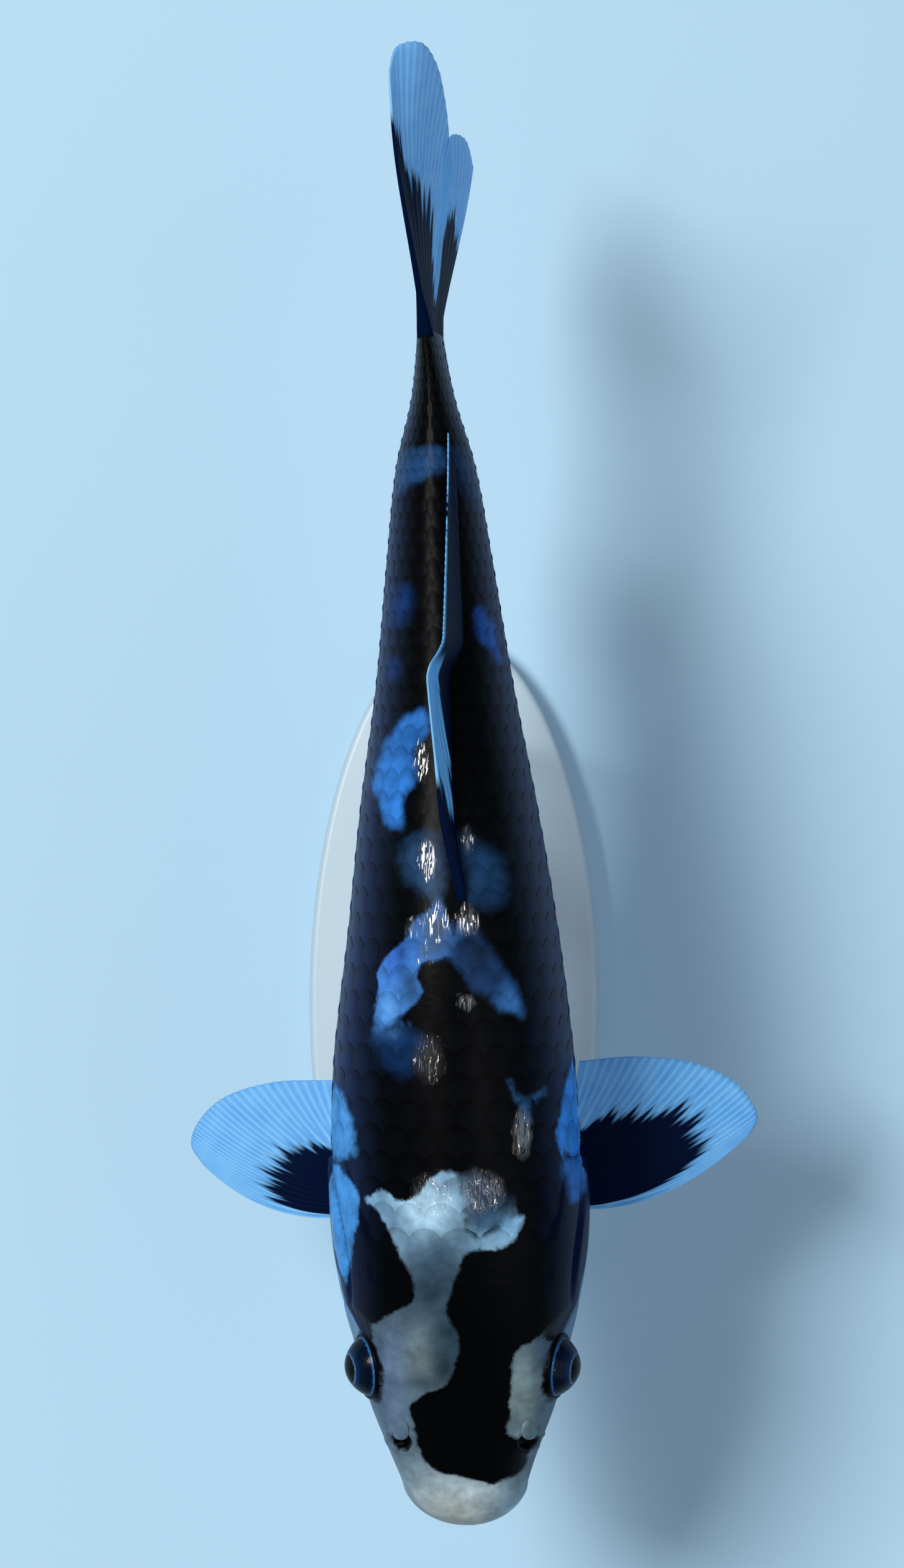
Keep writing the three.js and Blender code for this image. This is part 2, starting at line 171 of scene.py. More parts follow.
CRISP, SOFT, SMOKY = 0.5, 1.2, 2.6     # half the width of a patch's fading edge, in mm
# The patches' blues are painted blue light, as of water, on the koi's white.
PATCHES = [
    ("#526a7c", CRISP, [
        (51, -25), (49.5, -21.5), (51.5, -18), (54, -14), (56.5, -11), (61, -11), (63, -12.5),
        (67.5, -13), (67.5, -1), (61, -1.5), (54, -3.5), (51, -2.5), (47, -1), (40, -2),
        (35.5, -5), (34, -8), (31.5, -12), (27.5, -12), (20, -10.5), (16, -8.5), (14, -4.5),
        (12.5, 1.5), (11.5, 6.5), (13, 11), (14.5, 14), (19.5, 15.5), (22, 14), (24, 10),
        (28.5, 11), (40.5, 11.5), (44.5, 13.5), (46.5, 17), (49, 22), (52, 25.5), (47, 31.5),
        (15, 24), (-5.5, 12), (-5.5, -12), (15, -24), (46, -32),
    ]),
    ("#86b4d6", CRISP, [
        (80, -21), (81.5, -17), (79, -13), (81.5, -8), (84, -7), (86.5, -2), (84, 0.5), (78, 1),
        (72, 1.5), (71, 5), (73, 9), (76, 12.5), (75.5, 14.5), (72.5, 14), (69.5, 11.5),
        (68, 8.5), (67.5, 1.5), (66, -1), (66, -13), (70, -15), (75.5, -18.5),
    ]),
    ("#0f2540", SMOKY, [(84, 1), (77, 1.5), (73, 4), (74.5, 9), (78, 12), (82, 9), (85, 5)]),
    ("#3f8bd6", CRISP, [
        (85.5, -30), (84.5, -26), (81, -23.5), (75, -23.5), (68.5, -25), (59, -26.5), (53, -28),
        (53, -32), (69, -35),
    ]),
    ("#4590d8", SOFT, [
        (104, -29.5), (103, -26.5), (100.5, -25.5), (95.5, -23.5), (89.5, -24), (88.5, -26.5),
        (89, -33),
    ]),
    ("#2f86e2", CRISP, [
        (112.5, 28.5), (111.5, 29.5), (103, 33), (90, 33), (90, 25), (94, 23.5), (101.5, 25),
        (107, 26.5),
    ]),
    ("#2a6cc0", SOFT, [(87.5, 24.5), (87.5, 31.5), (82.5, 31), (78, 26.5), (82.5, 25.5)]),
    ("#3a74c2", CRISP, [
        (119, -17.5), (123, -18.5), (127.5, -17), (131.5, -18), (136, -15), (140, -11), (144, -9),
        (146.5, -5.5), (147, -2.5), (144, -1), (141, 0.5), (135, -1.5), (135.5, -5), (134.5, -7),
        (131.5, -8.5), (127, -7), (122.5, -12), (119.5, -15),
    ]),
    ("#1c3f70", SOFT, [
        (143.5, 1), (142.5, 4.5), (138, 8.5), (131.5, 12.5), (127.5, 15), (122, 16), (123, 13),
        (124, 9.5), (127.5, 7.5), (127.5, 4.5), (132, 2.5), (135, -0.5),
    ]),
    ("#0d2a52", SMOKY, [
        (116.5, -18.5), (119, -13.5), (117.5, -8), (111.5, -9), (108, -12), (111.5, -15.5),
    ]),
    ("#2a5888", SOFT, [
        (107.5, 12.5), (104.5, 14.5), (102.5, 16.5), (104, 19), (105, 21.5), (102.5, 19.5),
        (100.5, 17), (97.5, 16.8), (97.8, 15.6), (101.5, 14.8),
    ]),
    ("#223f62", SMOKY, [
        (158.5, -11.5), (162.5, -9), (164, -3.5), (158.5, -2), (150, -3), (150, -5.5), (154, -10),
    ]),
    ("#1a3a60", SMOKY, [
        (163.5, 2.5), (161.5, 6.5), (158.5, 11), (151, 12.5), (148, 10.5), (147.5, 6), (151, 3.5),
        (157, 2.5),
    ]),
    ("#2c70c2", SOFT, [
        (193, -5), (190, -10), (186.5, -13), (184, -15), (177, -17), (173, -17), (171, -15.5),
        (167.5, -15), (165, -13.5), (166.5, -11), (172, -10.5), (175, -9), (176, -7.5),
        (183, -8), (187.5, -4.5),
    ]),
    ("#174f9e", SOFT, [(216.5, 8.5), (214, 11), (209.5, 12.5), (204, 13), (206.5, 11), (211, 7.5)]),
    ("#0d2f66", SMOKY, [(214, -12.5), (219.5, -11.5), (221, -8), (217.5, -7), (213, -10)]),
    ("#0d2f66", SMOKY, [(201.5, -13), (204, -12), (202.5, -10.5), (200.5, -12)]),
    ("#1a3c66", SOFT, [
        (243.5, -10), (250.5, -9), (253.5, -5.5), (253.5, 1.5), (249, 2.5), (247.5, -0.5),
        (245.5, -5),
    ]),
    ("#12315a", SMOKY, [(252.5, 3.5), (253, 7), (247.5, 10.5), (239.5, 11.5), (241.5, 9), (246, 5.5)]),
]
# Tones inside the patches, tinted by the same painted blue light, the pair beside the eyes being painted
# shade: centre (at, out), reach along and across, colour, strength.
SHADES = [
    (8, -1, 9, 13, "#b4cdd9", 0.9),         # snout
    (2, 9, 6, 6, "#8fbcd8", 0.6),           # its cooler left side
    (2, -2, 6, 9, "#c9cdbc", 0.7),          # its warm middle
    (36, -17, 13, 4, "#647ba0", 0.75),      # beside the right eye
    (41, -9, 7, 4, "#7c9296", 0.8),         # crown
    (47, -1.5, 6, 3.5, "#2b3e4c", 0.9),     # smoky edge of the crown
    (40.5, -4, 5, 5, "#1f303d", 0.9),
    (36, -10, 2.5, 5, "#2f4352", 0.8),
    (48, -3, 6, 4, "#263b4b", 0.9),
    (60, -7, 9, 10, "#2b4053", 1.0),        # nape
    (68, -5, 5, 9, "#2f475c", 1.0),
    (38, -20.5, 10, 2.6, "#3a5270", 0.8),   # painted shade beside the eyes
    (39, 19.5, 9, 2.4, "#3a5270", 0.8),
    (33, 14, 11, 4, "#8da6a8", 0.85),       # left cheek
    (78, -8, 5.5, 6.5, "#b4defa", 1.0),     # shoulder's bright middle
    (77, -17, 5, 4, "#4c7090", 0.8),        # its grey right end
    (71, -12, 4, 4, "#5f7d98", 0.7),
    (84, -3, 3, 5, "#5b7c98", 0.7),
    (74, 9.5, 2.5, 5, "#5e8fb8", 0.8),      # its thin left arm
    (143, -4, 4, 4.5, "#37506c", 0.9),      # where the two saddle arms meet
    (140, -10, 4, 3, "#2f66b0", 0.7),
    (125, 13.5, 3.5, 3.5, "#3f7fc8", 0.95), # bright end of the left arm
    (123.5, -15, 4, 3, "#5a98e0", 0.8),     # bright end of the right arm
    (137, -14, 5, 3, "#2a4cac", 0.7),       # its violet outer side
    (129, -9.5, 4.5, 2.2, "#2b4d72", 0.85), # and its dull inner side
    (138.5, -4.5, 3.5, 3, "#34506f", 0.85),
    (136, 5, 7, 6, "#10243f", 0.95),        # dark start of the left arm
    (186, -9, 5, 5, "#23589c", 0.7),
]
# Places where the slime lies thick and glints: centre (at, out), reach along and across.
GLINTS = [
    (158, -5.5, 4, 1.4), (163, 4, 2.6, 1.2), (143.5, -3.8, 3.4, 2.2), (142.4, -9, 1.8, 1.6),
    (144, 3.4, 2.6, 2.2), (136.5, -6.5, 2.4, 1.1), (125.4, 3, 1.4, 1.8), (112.5, -6, 4.6, 3),
    (95, 15.4, 5, 1.8), (80, -5.8, 5, 4.2), (81.5, 5.4, 4, 4.4), (181, -6, 4, 1.2),
]
BELLY_WHITE = "#c0d3e0"     # the underside
FLANK_WHITE_PAINTED_BLUE_LIGHT = "#6fa6dc"     # the lower flanks, where painted blue light tints the white
SUMI_BLACK = "#020305"      # the back, close to pure black
SUMI_NAVY = "#03123a"       # the flanks, where the black turns blue: partly sumi lying deep under the scales, partly painted blue light
CURVE_STEPS = 4             # straight pieces in each stretch of an outline
FAR = 12.0                  # mm from an outline beyond which distance isn't measured


def closed_curve(corners):
    p = np.array(corners, float)
    before, after, far = np.roll(p, 1, 0), np.roll(p, -1, 0), np.roll(p, -2, 0)
    t = (np.arange(CURVE_STEPS) / CURVE_STEPS)[None, :, None]
    p, before, after, far = (q[:, None, :] for q in (p, before, after, far))
    h = t * t * (3 - 2 * t)
    points = (p * (1 - h) + after * h + (after - before) / 2 * t * (1 - t) ** 2
              - (far - p) / 2 * t * t * (1 - t))
    return points.reshape(-1, 2)


def inside_depth(at, out, corners):
    """How deep each point lies inside an outline, in mm, negative outside it."""
    line = closed_curve(corners)
    depth = np.full(at.shape, -FAR)
    near = ((at > line[:, 0].min() - FAR) & (at < line[:, 0].max() + FAR)
            & (out > line[:, 1].min() - FAR) & (out < line[:, 1].max() + FAR))
    x, y = at[near], out[near]
    nearest = np.full(x.shape, np.inf)
    crossings = np.zeros(x.shape, int)
    for (ax, ay), (bx, by) in zip(line, np.roll(line, -1, 0)):
        ex, ey = bx - ax, by - ay
        t = np.clip(((x - ax) * ex + (y - ay) * ey) / (ex * ex + ey * ey + 1e-9), 0, 1)
        nearest = np.minimum(nearest, (x - ax - t * ex) ** 2 + (y - ay - t * ey) ** 2)
        spans = (ay > y) != (by > y)
        if ey:
            crossings += spans & (x < ax + (y - ay) * ex / ey)
    depth[near] = np.clip(np.where(crossings % 2, 1, -1) * np.sqrt(nearest), -FAR, FAR)
    return depth


def spot_share(at, out, centre, reach):
    return np.exp(-((at - centre[0]) / reach[0]) ** 2 - ((out - centre[1]) / reach[1]) ** 2)


def tint(hex_colour):
    return np.array(linear(hex_colour)[:3])


def markings(at, angle, out):
    """The sumi field in mm (over 0 is black), its blur, the colours of the white and of the black
    there, and how thick the slime lies."""
    at, out = np.asarray(at, float), np.asarray(out, float)
    round_ = np.abs(np.degrees(angle))
    depth = np.full(at.shape, -FAR)
    white = np.zeros(at.shape + (3,))
    blur = np.zeros(at.shape)
    weight = np.zeros(at.shape)
    for colour, softness, corners in PATCHES:
        inside = inside_depth(at, out, corners)
        share = np.exp(np.clip(inside, -FAR, 2) / 1.2)
        white += share[..., None] * tint(colour)
        blur += share * softness
        weight += share
        depth = np.maximum(depth, inside)
    white /= weight[..., None]
    blur /= weight
    for along, across, length, width, colour, strength in SHADES:
        share = strength * spot_share(at, out, (along, across), (length, width))
        white = mix(white, tint(colour), share[..., None])
    wet = np.zeros(at.shape)
    for along, across, length, width in GLINTS:
        wet = np.maximum(wet, spot_share(at, out, (along, across), (length, width)))
    side = np.sign(out)
    wave = (7 * np.sin(at / 21 + side * 1.3) + 4.5 * np.sin(at / 9.1 + side * 2.1 + 1)
            + 2.5 * np.sin(at / 4.3 - side))
    limit = mix(mix(46.0, 72.0, smooth(at, 26, 38)), 101.0, smooth(at, 46, 88))
    limit = limit + wave * smooth(at, 60, 90)
    limit = limit + 60 * smooth(at, 222, 262)
    belly = (round_ - limit) * math.radians(1) * 28
    fold = smooth(at, 46, 80)
    low = smooth(round_, mix(58, 78, fold), mix(72, 94, fold))
    depth = mix(depth, belly, low)
    blur = mix(blur, 0.7, low)
    # Painted blue light tints the white of the lower flanks.
    flank = smooth(round_, 74, 90) * smooth(at, 40, 62)
    white = mix(white, tint(FLANK_WHITE_PAINTED_BLUE_LIGHT), flank[..., None])
    white = mix(white, tint(BELLY_WHITE), smooth(round_, 88, 128)[..., None])
    # On the flanks the black turns navy: partly sumi lying deep under the scales, partly painted blue light.
    behind_eye = smooth(at, 35, 60)
    blue = smooth(round_, mix(60, 30, behind_eye), mix(110, 80, behind_eye))
    black = mix(tint(SUMI_BLACK), tint(SUMI_NAVY), blue[..., None])
    return {"sumi": -depth, "blur": blur, "wet": wet * (round_ < 90), "white_skin": white,
            "black_skin": black}


# ------------------------------------------------------------------ meshes and pieces

def finished(name, mesh, material, replaces=()):
    """A piece at the origin, riding on the one body."""
    piece = bpy.data.objects.new(name, mesh)
    bpy.context.scene.collection.objects.link(piece)
    mesh.materials.append(material)
    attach(piece, "root")
    if replaces:
        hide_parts(*replaces)
    return piece


def mesh_of(bm, name):
    """The finished mesh of a bmesh, which is freed."""
    mesh = bpy.data.meshes.new(name)
    bm.to_mesh(mesh)
    bm.free()
    return mesh


def raise_faces(bm, height):
    """Extrudes all faces up by a height and returns the new geometry."""
    grown = bmesh.ops.extrude_face_region(bm, geom=bm.faces[:])["geom"]
    tops = [v for v in grown if isinstance(v, bmesh.types.BMVert)]
    bmesh.ops.translate(bm, verts=tops, vec=(0, 0, height))
    return grown


def sheet_mesh(name, along, across, deep=False):
    """A grid over 0..1 along x and y; a deep one is a closed slab from z = 0 to z = 1."""
    bm = bmesh.new()
    bmesh.ops.create_grid(bm, x_segments=along, y_segments=across, size=0.5)
    bmesh.ops.translate(bm, verts=bm.verts, vec=(0.5, 0.5, 0))
    if deep:
        raise_faces(bm, 1)
    return mesh_of(bm, name)


def read_places(mesh):
    places = np.empty(len(mesh.vertices) * 3)
    mesh.vertices.foreach_get("co", places)
    return places.reshape(-1, 3)


def write_places(mesh, places):
    mesh.vertices.foreach_set("co", np.ascontiguousarray(places, dtype=np.float32).ravel())
    mesh.update()


def add_number(mesh, name, values):
    layer = mesh.attributes.new(name, "FLOAT", "POINT")
    layer.data.foreach_set("value", np.ascontiguousarray(values, dtype=np.float32))


def add_colour(mesh, name, values):
    layer = mesh.attributes.new(name, "FLOAT_COLOR", "POINT")
    rgba = np.ones((len(values), 4), dtype=np.float32)
    rgba[:, :3] = values
    layer.data.foreach_set("color", rgba.ravel())


def add_markings(mesh, at, angle, out, shade=0.0):
    """Stores the markings at the mesh's vertices, the white darkened by painted shade from 0 to 1."""
    fields = markings(at, angle, out)
    fields["white_skin"] = fields["white_skin"] * (1 - np.asarray(shade))[..., None]
    for name, values in fields.items():
        (add_colour if values.ndim > 1 else add_number)(mesh, name, values)


def read_numbers(mesh, name):
    values = np.empty(len(mesh.vertices), dtype=np.float32)
    mesh.attributes[name].data.foreach_get("value", values)
    return values


def darken(mesh, field):
    """Adds black where a field in mm is over 0."""
    values = np.maximum(read_numbers(mesh, "sumi"), field.astype(np.float32))
    mesh.attributes["sumi"].data.foreach_set("value", values)


def close_up(mesh, merge=1e-6, fill=False):
    """Merges doubled vertices, fills open rims and points the faces outwards."""
    bm = bmesh.new()
    bm.from_mesh(mesh)
    bmesh.ops.remove_doubles(bm, verts=bm.verts, dist=merge)
    if fill:
        rims = [e for e in bm.edges if e.is_boundary]
        bmesh.ops.holes_fill(bm, edges=rims)
    bmesh.ops.recalc_face_normals(bm, faces=bm.faces)
    bm.to_mesh(mesh)
    bm.free()
    mesh.shade_smooth()


# ------------------------------------------------------------------ materials

def node(tree, kind, inputs=None, **settings):
    """Adds a node with its settings, its values and its links."""
    made = tree.nodes.new(kind)
    for setting, value in settings.items():
        setattr(made, setting, value)
    for socket, value in (inputs or {}).items():
        if isinstance(value, bpy.types.NodeSocket):
            tree.links.new(value, made.inputs[socket])
        else:
            made.inputs[socket].default_value = value
    return made


def new_material(name):
    material = bpy.data.materials.new(name)
    material.use_nodes = True
    material.node_tree.nodes.clear()
    return material, material.node_tree


def own_space(tree):
    return node(tree, "ShaderNodeTexCoord").outputs["Object"]


def shade(tree, inputs):
    shader = node(tree, "ShaderNodeBsdfPrincipled", inputs)
    node(tree, "ShaderNodeOutputMaterial", {"Surface": shader.outputs[0]})


def stored(tree, name):
    """A number or colour stored at the mesh's vertices."""
    return node(tree, "ShaderNodeAttribute", attribute_name=name).outputs


def noise(tree, where, size, detail, **more):
    """Cloudy noise with lumps about size mm wide."""
    inputs = {"Vector": where, "Scale": 1 / (size * MM), "Detail": detail, **more}
    return node(tree, "ShaderNodeTexNoise", inputs).outputs["Fac"]


def drawn_noise(tree, where, sizes, detail):
    """Noise whose lumps have a size of their own along each axis, in mm."""
    scale = tuple(1 / (size * MM) for size in sizes)
    stretched = node(tree, "ShaderNodeMapping", {"Vector": where, "Scale": scale})
    inputs = {"Vector": stretched.outputs[0], "Scale": 1.0, "Detail": detail}
    return node(tree, "ShaderNodeTexNoise", inputs).outputs["Fac"]


def relief(tree, height, strength, depth):
    """A bumpy normal, depth mm deep."""
    inputs = {"Height": height, "Strength": strength, "Distance": depth * MM}
    return node(tree, "ShaderNodeBump", inputs).outputs[0]


def ranged(tree, value, start, end, low=0.0, high=1.0, **settings):
    """The stretch of a value from start to end, turned into low to high."""
    inputs = {"Value": value, "From Min": start, "From Max": end, "To Min": low, "To Max": high}
    return node(tree, "ShaderNodeMapRange", inputs, **settings).outputs[0]


def sums(tree, operation, *values, **settings):
    inputs = dict(enumerate(values))
    return node(tree, "ShaderNodeMath", inputs, operation=operation, **settings).outputs[0]


def blended(tree, share, first, second):
    inputs = {"Factor": share, "A": first, "B": second}
    return node(tree, "ShaderNodeMix", inputs, data_type="RGBA").outputs["Result"]


def dimmed(tree, colour, strength):
    inputs = {0: colour, "Scale": strength}
    return node(tree, "ShaderNodeVectorMath", inputs, operation="SCALE").outputs[0]


def scale_net_and_painted_sheen(tree, colour, middle, edge):
    """A colour that is stronger in the middle of each scale and weaker at its rim: the net the scales draw,
    with painted sheen on their middles.
    """
    return dimmed(tree, colour, ranged(tree, stored(tree, "rim")["Fac"], 0.4, 1.0, middle, edge))


def koi_skin(name, scaled):
    """Living fish skin, kept wet: a clear slime coat over pigment. The slime gives a low, even
    gloss, and where it lies thick its fine ridges along the body break the light into streaks."""
    material, tree = new_material(name)
    where = own_space(tree)
    raggedness = bpy.context.scene.koi_body.edge_raggedness / MM
    blur = stored(tree, "blur")["Fac"]
    # Ragged edge of the pigment, in lobes 4 mm wide and finer.
    lobes = noise(tree, where, 4, 4.0, Roughness=0.65)
    stray = sums(tree, "ADD", lobes, -0.5)
    ragged = sums(tree, "MULTIPLY_ADD", stray, raggedness, stored(tree, "sumi")["Fac"])
    inner = sums(tree, "MULTIPLY", blur, -1.0)
    cover = ranged(tree, ragged, inner, blur, interpolation_type="SMOOTHSTEP")
    # Mottling of the white in clouds of about 6 mm.
    tone = ranged(tree, noise(tree, where, 6, 5.0, Roughness=0.62), 0.32, 0.68, 0.58, 1.14)
    white = dimmed(tree, stored(tree, "white_skin")["Color"], tone)
    black = stored(tree, "black_skin")["Color"]
    # Partly the net of the scales, partly painted sheen: the black scales are much lighter in their middles.
    if scaled:
        white = scale_net_and_painted_sheen(tree, white, 1.12, 0.74)
        black = scale_net_and_painted_sheen(tree, black, 1.9, 0.5)
    # Ridges that run along the body, 1 mm apart (finer in life) and 7 mm long.
    ridges = drawn_noise(tree, where, (1, 7, 1), 1.0)
    shade(tree, {
        "Base Color": blended(tree, cover, white, black), "Roughness": 0.36, "IOR": 1.12,
        "Normal": relief(tree, noise(tree, where, 1.4, 3.0), 0.5, 0.1),
        "Coat Weight": ranged(tree, stored(tree, "wet")["Fac"], 0.15, 0.6),
        "Coat Roughness": 0.1, "Coat IOR": 2.3, "Coat Normal": relief(tree, ridges, 1.0, 0.9),
    })
    return material


def fin_membrane():
    """A koi's fin: clear skin stretched over bony rays. Light passes the skin and less of it the
    rays, and black pigment follows the rays out from the root."""
    material, tree = new_material("fin_membrane_stretched_over_rays")
    where = own_space(tree)
    fins = bpy.context.scene.koi_fins
    ray = stored(tree, "ray")["Fac"]
    cover = ranged(tree, stored(tree, "sumi")["Fac"], -2.0, 2.0, interpolation_type="SMOOTHSTEP")
    # The membrane's blues are painted blue light seen through the clear skin.
    skin = blended(tree, noise(tree, where, 5, 4.0), (*fins.deep[:3], 1), (*fins.pale[:3], 1))
    lit = blended(tree, ray, skin, (*fins.ray_colour[:3], 1))
    veil = ranged(tree, stored(tree, "tip")["Fac"], 0.0, 1.0, fins.root_cover, fins.tip_cover)
    rib = sums(tree, "MULTIPLY_ADD", ray, 0.1, veil)
    shade(tree, {
        "Base Color": blended(tree, cover, lit, linear("#020f2c")), "Roughness": 0.45, "IOR": 1.08,
        "Alpha": sums(tree, "MAXIMUM", rib, cover, use_clamp=True),
        "Normal": relief(tree, noise(tree, where, 0.8, 2.0), 0.25, 0.06),
    })
    return material


EYE_RINGS = [     # share of the way from the pupil's middle to the eye's side, and the colour there
    (0.0, "#010203"), (0.29, "#010203"), (0.32, "#4a6c8e"), (0.345, "#0c2950"), (0.45, "#04122a"),
    (0.6, "#020a1a"), (0.67, "#030f24"), (0.7, "#28619f"), (0.74, "#0a2850"), (1.0, "#040f22"),
]


def eye_surface():
    """A fish's eye under its wet cornea: black pupil, dark iris and a pale silvery edge."""
    material, tree = new_material("wet_fish_eye")
    where = own_space(tree)
    wavy = sums(tree, "MULTIPLY_ADD", noise(tree, where, 0.8, 3.0), 6.0, stored(tree, "gaze")["Fac"])
    ramp = node(tree, "ShaderNodeValToRGB", {"Fac": sums(tree, "DIVIDE", wavy, 90.0)})
    rings = ramp.color_ramp.elements
    rings.remove(rings[1])
    rings[0].color = linear(EYE_RINGS[0][1])
    for spot, colour in EYE_RINGS[1:]:
        rings.new(spot).color = linear(colour)
    shade(tree, {
        "Base Color": ramp.outputs["Color"], "Roughness": 0.3, "IOR": 1.12,
        "Coat Weight": 0.16, "Coat Roughness": 0.04, "Coat IOR": 1.376,
    })
    return material


def base_paint():
    """Sprayed satin enamel on turned board: an even pale blue-grey with a faint orange peel."""
    material, tree = new_material("satin_enamel_sprayed")
    where = own_space(tree)
    tone = noise(tree, where, 40, 2.0)
    shade(tree, {
        "Base Color": blended(tree, tone, linear("#a3bccd"), linear("#b0c6d4")), "Roughness": 0.42,
        "Normal": relief(tree, noise(tree, where, 1.5, 2.0), 0.2, 0.05),
    })
    return material


def drawn_steel():
    """Drawn stainless rod: grey metal with fine draw lines along its length."""
    material, tree = new_material("stainless_steel_drawn")
    where = own_space(tree)
    lines = drawn_noise(tree, where, (0.25, 0.25, 20), 2.0)
    shade(tree, {
        "Base Color": linear("#c4c8cb"), "Metallic": 1.0,
        "Roughness": ranged(tree, lines, 0.0, 1.0, 0.22, 0.42),
    })
    return material


# ------------------------------------------------------------------ skin

SIDES = (("left", 1.0), ("right", -1.0))
JAW_LINE, JAW_SLOPE, JAW_LENGTH = -12.5, 0.16, 17.0
GILL_AT, GILL_UP, GILL_LONG, GILL_HIGH = 66.0, -5.0, 22.0, 18.0
EYE = {"at": 39.3, "out": 19.4, "up": EYE_HEIGHT, "radius": 8.0, "opening": 64.0}
ORBIT = {"at": 39.5, "out": 18.6, "up": 4.0, "long": 10.6, "deep": 8.2, "high": 10.0}
ORBIT_BLEND = 0.3       # how softly the raised orbit meets the head, as a share of its radius
SOCKET_RIM = 24         # degrees beyond the opening over which the skin comes up to the head's
GAZE = np.array([-0.12, 0.92, 0.32]) / np.linalg.norm([-0.12, 0.92, 0.32])   # at, out, up
NOSTRIL_AT, NOSTRIL_OUT, NOSTRIL_SHIFT = 21.4, 15.0, -0.4
LATERAL_LINE = 84.0     # degrees from the middle of the back
# Heights and depths of the skin's relief, in mm.
MOUTH_DEPTH, LIP_HEIGHT = 1.7, 1.0
COVER_HEIGHT, COVER_GROOVE, CHEEK_GROOVE = 0.7, 0.9, 0.3
NOSTRIL_DEPTH, NOSTRIL_RIM = 2.8, 0.6
SCALE_BED, NAPE_FOLD = 0.5, 0.35


def bell(distance, width):
    """1 at a distance of 0, fading to nothing over a few widths."""
    return np.exp(-(distance / width) ** 2)


def eye_centre(way):
    return np.array([EYE["at"], way * EYE["out"], EYE["up"]])


def scale_cover(at, angle):
    """1 where scales cover the skin, 0 on the head: they start at the nape and behind the gills."""
    turn = np.abs(np.degrees(angle))
    start = 63 + 5 * smooth(turn, 15, 40) + 19 * smooth(turn, 40, 62) - 14 * smooth(turn, 118, 150)
    return smooth(at, start, start + 3)


def nostril_distance(at, out):
    """Distance in mm from the middle of the nearer nostril."""
    return np.hypot(at - NOSTRIL_AT, (np.abs(out + NOSTRIL_SHIFT) - NOSTRIL_OUT) * 0.85)


def above_mouth(at, up):
    return up - (JAW_LINE - JAW_SLOPE * at)


def gill_ring(at, up):
    """Distance from the middle of the gill cover, 1 at its edge."""
    return np.hypot((at - GILL_AT) / GILL_LONG, (up - GILL_UP) / GILL_HIGH)


def raise_orbit(spot, mine, way):
    """Lifts the skin of one side out to the swelling round its eye."""
    centre = np.array([ORBIT["at"], way * ORBIT["out"], ORBIT["up"]])
    radii = np.array([ORBIT["long"], ORBIT["deep"], ORBIT["high"]])
    arm = spot - centre
    d = np.linalg.norm(arm / radii, axis=-1)
    h = np.clip(0.5 + 0.5 * (d - 1) / ORBIT_BLEND, 0, 1)
    wanted = mix(1.0, d, h) + ORBIT_BLEND * h * (1 - h)
    near = mine & (d < 1 + ORBIT_BLEND)
    spot[near] = (centre + arm * (wanted / np.maximum(d, 0.2))[..., None])[near]


def open_socket(spot, mine, way):
    """Sinks the skin of one side below its eyeball, inside the eye's opening."""
    eye = eye_centre(way)
    arm = spot - eye
    reach = np.linalg.norm(arm, axis=-1)
    turn = np.degrees(np.arccos(np.clip((arm @ (GAZE * [1, way, 1])) / reach, -1, 1)))
    edge = smooth(turn, EYE["opening"] - 3, EYE["opening"] + 3)
    sunk = mix(EYE["radius"] - 1.4, EYE["radius"] + 0.5, edge)
    wanted = mix(sunk, reach, smooth(turn, EYE["opening"] + 3, EYE["opening"] + SOCKET_RIM))
    near = mine & (turn < EYE["opening"] + SOCKET_RIM) & (reach < 2 * EYE["radius"])
    spot[near] = (eye + arm * (wanted / reach)[..., None])[near]


def skin_surface(at, angle):
    """The skin's relief: lips, gill covers, nostrils, raised orbits and the eyes' openings."""
    out, up = section(at, angle, 0 * at)
    side = np.where(out < 0, -1.0, 1.0)
    below = above_mouth(at, up)
    ring = gill_ring(at, up)
    pit = nostril_distance(at, out)
    flank = smooth(np.abs(out), 12, 18)
    lips = (1 - smooth(at, 8, 15)) * smooth(at, 0.2, 2)
    lift = -MOUTH_DEPTH * bell(below, 0.7) * (1 - smooth(at, JAW_LENGTH - 5, JAW_LENGTH))
    lift += LIP_HEIGHT * bell(np.abs(below) - 2.0, 1.1) * lips
    lift += COVER_HEIGHT * (1 - smooth(ring, 0.94, 1.0)) * smooth(at, 48, 68) * flank
    lift -= COVER_GROOVE * bell(ring - 1.04, 0.035) * smooth(at, 50, 62) * flank
    lift -= CHEEK_GROOVE * bell(ring - 0.62, 0.05) * (1 - smooth(at, 60, 70)) * flank
    lift -= NOSTRIL_DEPTH * np.exp(-(pit / 1.75) ** 4) * (up > 0)
    lift += NOSTRIL_RIM * bell(pit - 2.8, 0.7) * (up > 0)
    lift -= SCALE_BED * scale_cover(at, angle)
    lift -= NAPE_FOLD * bell(at - 62, 1.2) * (np.abs(np.degrees(angle)) < 45)
    out, up = section(at, angle, lift)
    spot = np.stack([at, out, up], axis=-1)
    for way in (-1.0, 1.0):
        raise_orbit(spot, side == way, way)
        open_socket(spot, side == way, way)
    return spot[..., 0], spot[..., 1], spot[..., 2]


def painted_crease_shade(at, out, up):
    """Painted shade in the line of the mouth and behind the gill cover's rear edge, 0..1."""
    mouth = bell(above_mouth(at, up), 0.75) * (1 - smooth(at, JAW_LENGTH - 4, JAW_LENGTH))
    gill = bell(gill_ring(at, up) - 1.05, 0.035) * smooth(at, 50, 62) * smooth(np.abs(out), 12, 18)
    return np.maximum(0.85 * mouth, 0.8 * gill)


def head_and_body_rows():
    """Distances behind the snout of the skin's rings, closest together on the head."""
    nose = 0.05 + 6 * np.linspace(0, 1, 22) ** 1.7
    head = np.arange(6.6, 60, 0.6)
    trunk = np.linspace(60, BODY_END, 124)
    return np.concatenate([nose, head, trunk])


